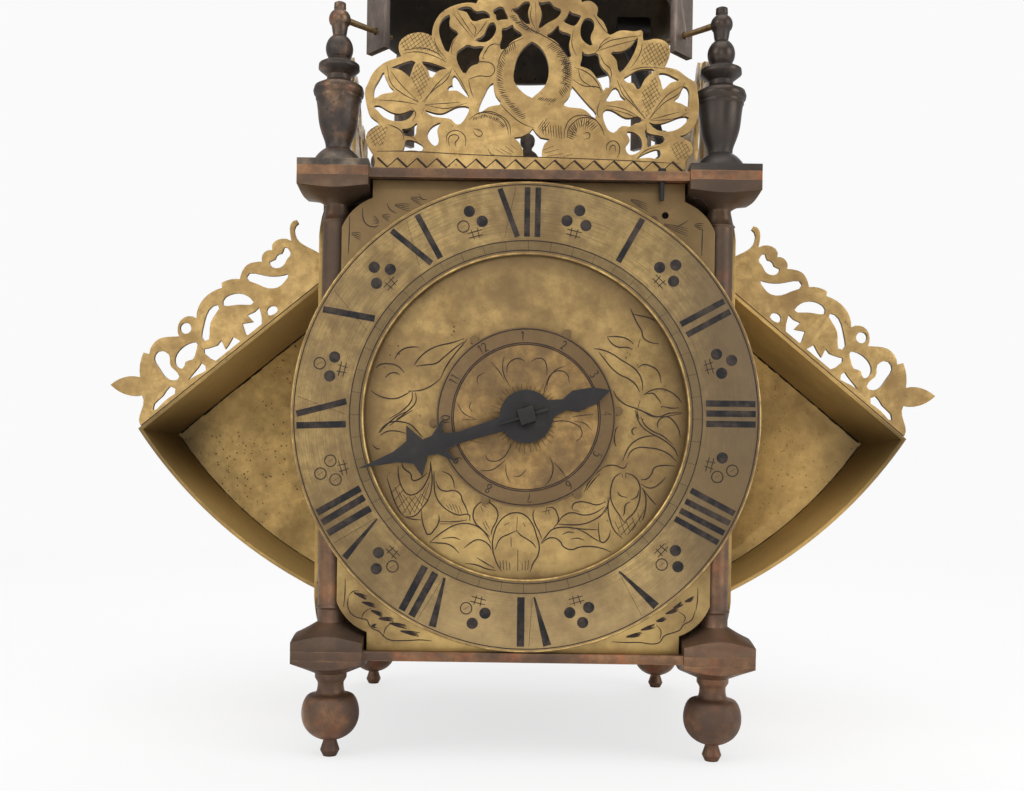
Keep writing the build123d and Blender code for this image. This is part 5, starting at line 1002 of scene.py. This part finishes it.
# each figure's strokes, in a box one high, from its left foot
figures = {
    "0": [[(0.3, 1), (0.06, 0.75), (0.06, 0.25), (0.3, 0), (0.54, 0.25), (0.54, 0.75), (0.3, 1)]],
    "1": [[(0.12, 0.78), (0.3, 1), (0.31, 0.5), (0.3, 0)]],
    "2": [[(0.05, 0.78), (0.2, 1), (0.47, 0.92), (0.48, 0.65), (0.28, 0.32), (0.02, 0.02)],
          [(0.02, 0.02), (0.25, 0.1), (0.56, 0)]],
    "3": [[(0.08, 0.9), (0.3, 1), (0.48, 0.8), (0.28, 0.55)],
          [(0.28, 0.55), (0.52, 0.35), (0.4, 0.02), (0.05, 0.08)]],
    "4": [[(0.4, 0), (0.4, 1)], [(0.4, 1), (0.02, 0.33)], [(0.02, 0.33), (0.6, 0.33)]],
    "5": [[(0.52, 1), (0.15, 0.98)], [(0.15, 0.98), (0.1, 0.58)],
          [(0.1, 0.58), (0.4, 0.62), (0.52, 0.3), (0.35, 0.02), (0.05, 0.06)]],
    "6": [[(0.48, 0.98), (0.2, 0.8), (0.06, 0.3), (0.25, 0), (0.5, 0.15), (0.48, 0.45), (0.25, 0.52),
           (0.08, 0.35)]],
    "7": [[(0.02, 0.92), (0.2, 1), (0.55, 0.97)], [(0.55, 0.97), (0.3, 0.45), (0.22, 0)]],
    "8": [[(0.3, 0.52), (0.08, 0.75), (0.3, 1), (0.5, 0.78), (0.3, 0.52), (0.05, 0.25), (0.3, 0),
           (0.55, 0.25), (0.3, 0.52)]],
    "9": [[(0.1, 0.02), (0.4, 0.2), (0.54, 0.7), (0.35, 1), (0.1, 0.85), (0.12, 0.58), (0.35, 0.48),
           (0.52, 0.65)]],
}
disc = {
    "cutWidth": 0.38, "circleWidth": 0.42, "circles": (25.6, 26.2, 31.1),
    "figureFoot": 26.9, "figureHeight": 3.2, "figureWidth": 2.72, "figurePitch": 0.62,
    "figureTurn": -3,
    "rays": 40, "rayWander": 2, "rayRoot": (8.2, 9.0), "rayTip": (10.8, 13.2),
}
discStrokes = list(petals)
for hour in range(1, 13):
    turn = disc["figureTurn"] + 30 * (hour - 1)
    outward = Vector((math.sin(math.radians(turn)), math.cos(math.radians(turn))))
    rightward = Vector((outward.y, -outward.x))
    for index, figure in enumerate(str(hour)):
        left = disc["figurePitch"] * (index - len(str(hour)) / 2)
        for stroke in figures[figure]:
            discStrokes.append([tuple(outward * (disc["figureFoot"] + z * disc["figureHeight"])
                                      + rightward * (x + left) * disc["figureWidth"]) for x, z in stroke])
for ray in range(disc["rays"]):
    turn = 360 * ray / disc["rays"] + hand.uniform(-disc["rayWander"], disc["rayWander"])
    reaches = [hand.uniform(*disc[end]) for end in ("rayRoot", "rayTip")]
    discStrokes.append([polar(reach, turn, 0) for reach in reaches])
discPlace = (frontOf["alarm_disc"], bodyOf["alarm_disc"], "ring_brass")
cutLines("disc_cuts", raised(discStrokes, dialHeight), *discPlace, width=disc["cutWidth"])
cutLines("disc_circles", [circle(reach) for reach in disc["circles"]], *discPlace,
         width=disc["circleWidth"], closed=True)
print("alarm disc ready")

# front fret: veins, scales, gills, eyes and the chased band below, from the top plate
fretLines = [
    # left head
    [(-19.3, 20.6), (-15.3, 21.6), (-10.6, 20.2), (-7.5, 17.4), (-6.7, 13.1)],
    [(-21.7, 18.6), (-18.1, 20.9), (-13.7, 20.8), (-9.8, 19), (-8, 15.9), (-7.6, 13.5)],
    # eyes
    [(-20.1, 15.3), (-18.1, 14.9), (-16.9, 13.7), (-17.5, 12.7), (-19.1, 13), (-20.1, 14.5)],
    [(19, 14.1), (21, 14.4), (21.4, 13.1), (19.4, 12)],
    # scrolls
    [(-29.5, 10.2), (-29.4, 12.9), (-27.3, 14.5), (-24.5, 14.1), (-22.9, 12.1), (-22.8, 9.1)],
    [(-28.5, 8.8), (-28.7, 12.1), (-26.7, 13.1), (-25.3, 12.3), (-26.5, 10.1), (-26, 8.3)],
    [(27.3, 8.3), (27.7, 10.5), (29.7, 11.7), (31.7, 10.5), (32, 7.6), (31.2, 5.8)],
    [(28.5, 7.9), (28.9, 9.6), (30.1, 10.1), (30.6, 7.9)],
    # left gills
    [(-14.9, 8.4), (-13.7, 6.5), (-12.5, 6)], [(-11.8, 8), (-9.4, 6.6)], [(-10.6, 8.4), (-6.4, 6.3)],
    [(-8.6, 9.2), (-5.6, 7)], [(-6.6, 9.8), (-4, 7.8)],
    # right gills
    [(4.8, 8), (8.6, 9.6)], [(5.4, 7), (10.4, 8.4)], [(6.2, 5.8), (11.9, 7)], [(12.2, 5.8), (15.5, 6.8)],
    # right head
    [(12.2, 12.3), (12.6, 15.8), (14.2, 19), (17.4, 20.6), (22.2, 19.8), (25.4, 16.6), (26.6, 13.5)],
    [(13.4, 12.5), (13.8, 15.8), (15.8, 18.2), (18.2, 19.7), (21.4, 19.7), (23.8, 18.8)],
    # tails
    [(1.4, 61), (1.8, 51.6)], [(0.1, 59.3), (-0.3, 55.7), (1.4, 51.2)],
    [(3.2, 59.3), (3.9, 55.7), (2.2, 50.9)],
    # bodies
    [(-11.8, 36.9), (-10.6, 41.8), (-7.4, 45.5), (-2.6, 47.9)],
    [(-5.8, 59.3), (-4, 54.7), (-0.8, 51.4), (4.6, 48.7), (10.2, 45.1), (13.8, 40.6)],
    [(-10.6, 24.3), (-6.6, 20.2), (-2.6, 17.4), (1.4, 15.8)],
    # left flower
    [(-47.7, 28.8), (-39.7, 24.3)], [(-53.6, 25.1), (-45.7, 24.6), (-40.1, 23.7)],
    [(-51.1, 37.3), (-49.6, 31.2), (-45.7, 27.6), (-39.9, 24.7)],
    [(-49.6, 35.3), (-46.5, 31.2), (-39.7, 24.7)],
    [(-27.9, 36.8), (-29.7, 32.9), (-34.5, 28.8), (-38.3, 24.6)],
    [(-28.9, 35.3), (-33.7, 30.4), (-37.8, 24.3)], [(-22.1, 24.6), (-29.7, 22.4), (-37.3, 23.5)],
    [(-24.9, 24.7), (-31.3, 24.1), (-37.3, 23.7)], [(-42.1, 22.3), (-40.7, 20.6), (-41.7, 17.8)],
    [(-37.7, 22.3), (-38.6, 20.2)],
    # left cup
    [(-45.3, 41.7), (-40.9, 42.4), (-35.3, 41.3), (-29.9, 38.9)],
    [(-44.5, 43), (-39.3, 43.8), (-33.7, 42.2), (-30.9, 39.8)], [(-34.5, 47.5), (-33.7, 44.7), (-30.1, 40)],
    # low left leaf
    [(-50.4, 16.4), (-48.5, 15.8), (-45.7, 14), (-44.6, 10.7)],
    [(-45.3, 12.7), (-42.5, 12.5), (-38.9, 9.2)],
    # right cup
    [(35.3, 36.8), (40.1, 38), (47.7, 37.7)], [(39.6, 46.7), (39.1, 43.4), (35.7, 37.7)],
    # right flower
    [(30.9, 33.3), (32.9, 28.4), (36.9, 24.3), (40.9, 19.7)], [(32.1, 32), (35.3, 27.2), (41.1, 19.8)],
    [(54.9, 32.7), (53.3, 29.2), (47.7, 25.5), (42.3, 19.4)], [(54.1, 31.6), (48.5, 28), (42.5, 19.7)],
    [(56.3, 22.1), (52.5, 20.2), (42.9, 19)], [(53.3, 22.3), (48.5, 21), (42.7, 19.3)],
    [(27.1, 24.2), (33.3, 23.1), (40.5, 19.2)], [(28.5, 23.1), (35.7, 21), (40.1, 19)],
    [(41.3, 17.8), (42.1, 14.1), (46.9, 12.5)], [(38.1, 5.2), (41.3, 8.4), (46.1, 9.9)],
    # left bud
    [(-23.3, 34.5), (-21.7, 37.7), (-16.9, 39.2), (-13.1, 37.7), (-13.7, 34.5), (-18.5, 34.1), (-22, 32.9)],
    [(-22, 32.7), (-21.1, 28.8), (-20.1, 26.2)], [(-27.7, 36.9), (-24.1, 31.2), (-21.7, 26.2)],
    # right bud
    [(15.4, 37.7), (19.8, 36.1), (23.4, 32.9), (25.5, 28.6)],
    [(15, 33.3), (19, 31.1), (23.8, 30.8), (25.4, 29.8)], [(17, 36.9), (18.2, 33.3), (23, 30.4)],
    [(24.7, 19.7), (23.9, 21.6), (25, 26.2)], [(24.4, 42.6), (26.1, 39.4), (28.5, 36.9), (28.4, 32.4)],
    # upper left leaves
    [(-28.1, 56.5), (-24.9, 52.4), (-20.8, 47.7)], [(-26.5, 57.3), (-23.3, 52.4), (-20.5, 48.3)],
    [(-15.7, 54), (-17.7, 50.8), (-20.1, 47.9)], [(-21.7, 53.2), (-19.7, 50.8), (-20.3, 47.9)],
    [(-9.4, 44.7), (-13.7, 45.5), (-16.1, 43), (-17.3, 40.2)],
    [(-26.5, 47.9), (-28.1, 45.1), (-28.3, 41.8)],
    # upper right leaves
    [(23, 43.1), (26.9, 46.7), (32.5, 48.3), (39.1, 49.3)], [(24.2, 43.8), (29.3, 45.5), (38.1, 47.9)],
    [(23.8, 43.6), (25.4, 46.7), (28.1, 48.7)], [(22.2, 56.5), (25, 52.4), (27.1, 50)],
    [(15, 50.8), (14.6, 45.9), (16.2, 41.8)],
    # band line
    [(-54.4, 6.8), (-45.7, 7), (-21.7, 6.1), (-1, 5.6), (18.2, 5.2), (38.1, 4.6), (53.3, 3.9)],
]
fretNets = [
    # left flower
    [(-40.1, 39.4), (-42.6, 33.3), (-39.1, 24.9), (-35.7, 32.9)],
    # right flower
    [(44.5, 35.1), (39.4, 28.6), (41.5, 20), (46.4, 28)],
    # left cup
    [(-46.6, 45.1), (-44.5, 48.3), (-40.1, 49.6), (-35.7, 48.7), (-34.1, 45.1), (-31.7, 41.4),
     (-35.3, 42.5), (-40.9, 43.3), (-45.3, 42.5)],
    # low left leaf
    [(-57.8, 11.7), (-57.2, 14.5), (-54, 16.3), (-50.4, 15.3), (-51.2, 12.5), (-52, 9.2), (-55.2, 8.6)],
    # right cup
    [(39.1, 39), (39.7, 43.8), (42.1, 46.7), (45.7, 46.9), (49.1, 44.7), (48.9, 41.4), (46.1, 38.6)],
    # low right leaf
    [(50.1, 9.2), (51.7, 11.5), (54.9, 11.8), (57.3, 9.2), (56.5, 6), (52.5, 5.2)],
]
fretHatches = [
    # path, reach, gap, lean
    ([(8.6, 47.1), (12.2, 43.8), (14.6, 39.4), (14.8, 34.5), (14.2, 30), (11.6, 26.5)], -3.6, 0.75, 0.3),
    ([(12.6, 42.6), (14.2, 39.4), (14.5, 35.0)], -3.2, 0.8, -0.8),
    ([(-5.8, 46.9), (-9.4, 43.8), (-11.8, 38.6), (-12.3, 32.9), (-11, 28), (-7.4, 23.1), (-3, 18.8)],
     2.3, 0.8, 0.5),
    ([(13.2, 12.5), (13.7, 15.8), (15.6, 18.2), (18.2, 19.5), (21.4, 19.7), (25, 17)], -3.4, 0.8, 0.2),
    ([(-20.5, 19.4), (-16, 20.6), (-11.2, 19.2), (-8.4, 16.4)], -1.3, 0.6, 0.1),
    ([(-8, 55.7), (-5.8, 53.2), (-2.2, 50.4), (2.2, 49.1)], 2.0, 0.7, 0.6),
    ([(2.6, 16.2), (4.8, 13.4), (7.8, 12.9), (11.4, 12.1)], 4.4, 0.9, -0.3),
    ([(2.2, 26.0), (5.4, 25.3), (8.6, 24.9)], 1.6, 0.8, 0.8),
]
fret = {
    "cutWidth": 0.32, "netGap": 1.25, "netTurns": (38, 118),
    # the band's zigzag: from, pitch, steps, heights, and the weights of its falling and rising strokes
    "bandFrom": -54, "bandPitch": 3.5, "bandSteps": 32, "bandHigh": 4.5, "bandLow": 1.3,
    "bandFalling": 5.5, "bandRising": 2.4,
}
fretStrokes = list(fretLines)
for corners in fretNets:
    fretStrokes += netWithin(corners, fret["netGap"], fret["netTurns"])
for path, reach, gap, lean in fretHatches:
    fretStrokes += hatch(path, reach, gap, lean)
band = [(fret["bandFrom"] + fret["bandPitch"] * step, fret["bandLow"] if step % 2 else fret["bandHigh"])
        for step in range(fret["bandSteps"])]
for first, second in zip(band, band[1:]):
    fretStrokes.append([fret["bandFalling"] if first[1] > second[1] else fret["bandRising"], first, second])
cutLines("fret_cuts", raised(fretStrokes, roofHeight), frontOf["front_fret"], "frame", "fret_brass",
         width=fret["cutWidth"])
print("fret ready")

# dirt left in the wings' joints under the lid, and a line of painted shade along the curved wall
seam = {
    "slope": math.tan(math.radians(39.5)), "sheet": 1.5, "lidDrop": 2.25, "wallRadius": 184.2,
    "vergeRise": 12.4, "inner": 4.0, "behind": 0.2, "steps": 30, "stepLength": 1.3, "wander": 0.2,
    "width": 1.0, "lidWeights": (1.2, 2.6), "wallWeights": (0.5, 0.9),
}
for name, side in (("left_wing", -1), ("right_wing", 1)):
    low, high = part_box(name)
    near, far = sorted((abs(low.x) / mm, abs(high.x) / mm))
    lidTop = high.z / mm - seam["lidDrop"]
    wallTop = roofHeight + seam["vergeRise"]
    far -= seam["inner"]
    joints = []
    for step in range(seam["steps"]):
        ends = [near + (far - near) * share / seam["steps"] for share in (step, step + seam["stepLength"])]
        wander = hand.uniform(-seam["wander"], seam["wander"])
        underLid = [(side * x, lidTop - (x - near) * seam["slope"] + wander) for x in ends]
        # the line along the curved wall is painted shade, not dirt
        alongWall = [(side * x, wallTop - math.sqrt(seam["wallRadius"] ** 2 - x ** 2)) for x in ends]
        joints.append([hand.uniform(*seam["lidWeights"])] + underLid)
        joints.append([hand.uniform(*seam["wallWeights"])] + alongWall)
    front = high.y / mm - seam["sheet"] - seam["behind"]
    cutLines(name + "_dirt", joints, front, bodyOf[name], "door_brass", finish="dirt", width=seam["width"])
print("wings ready")
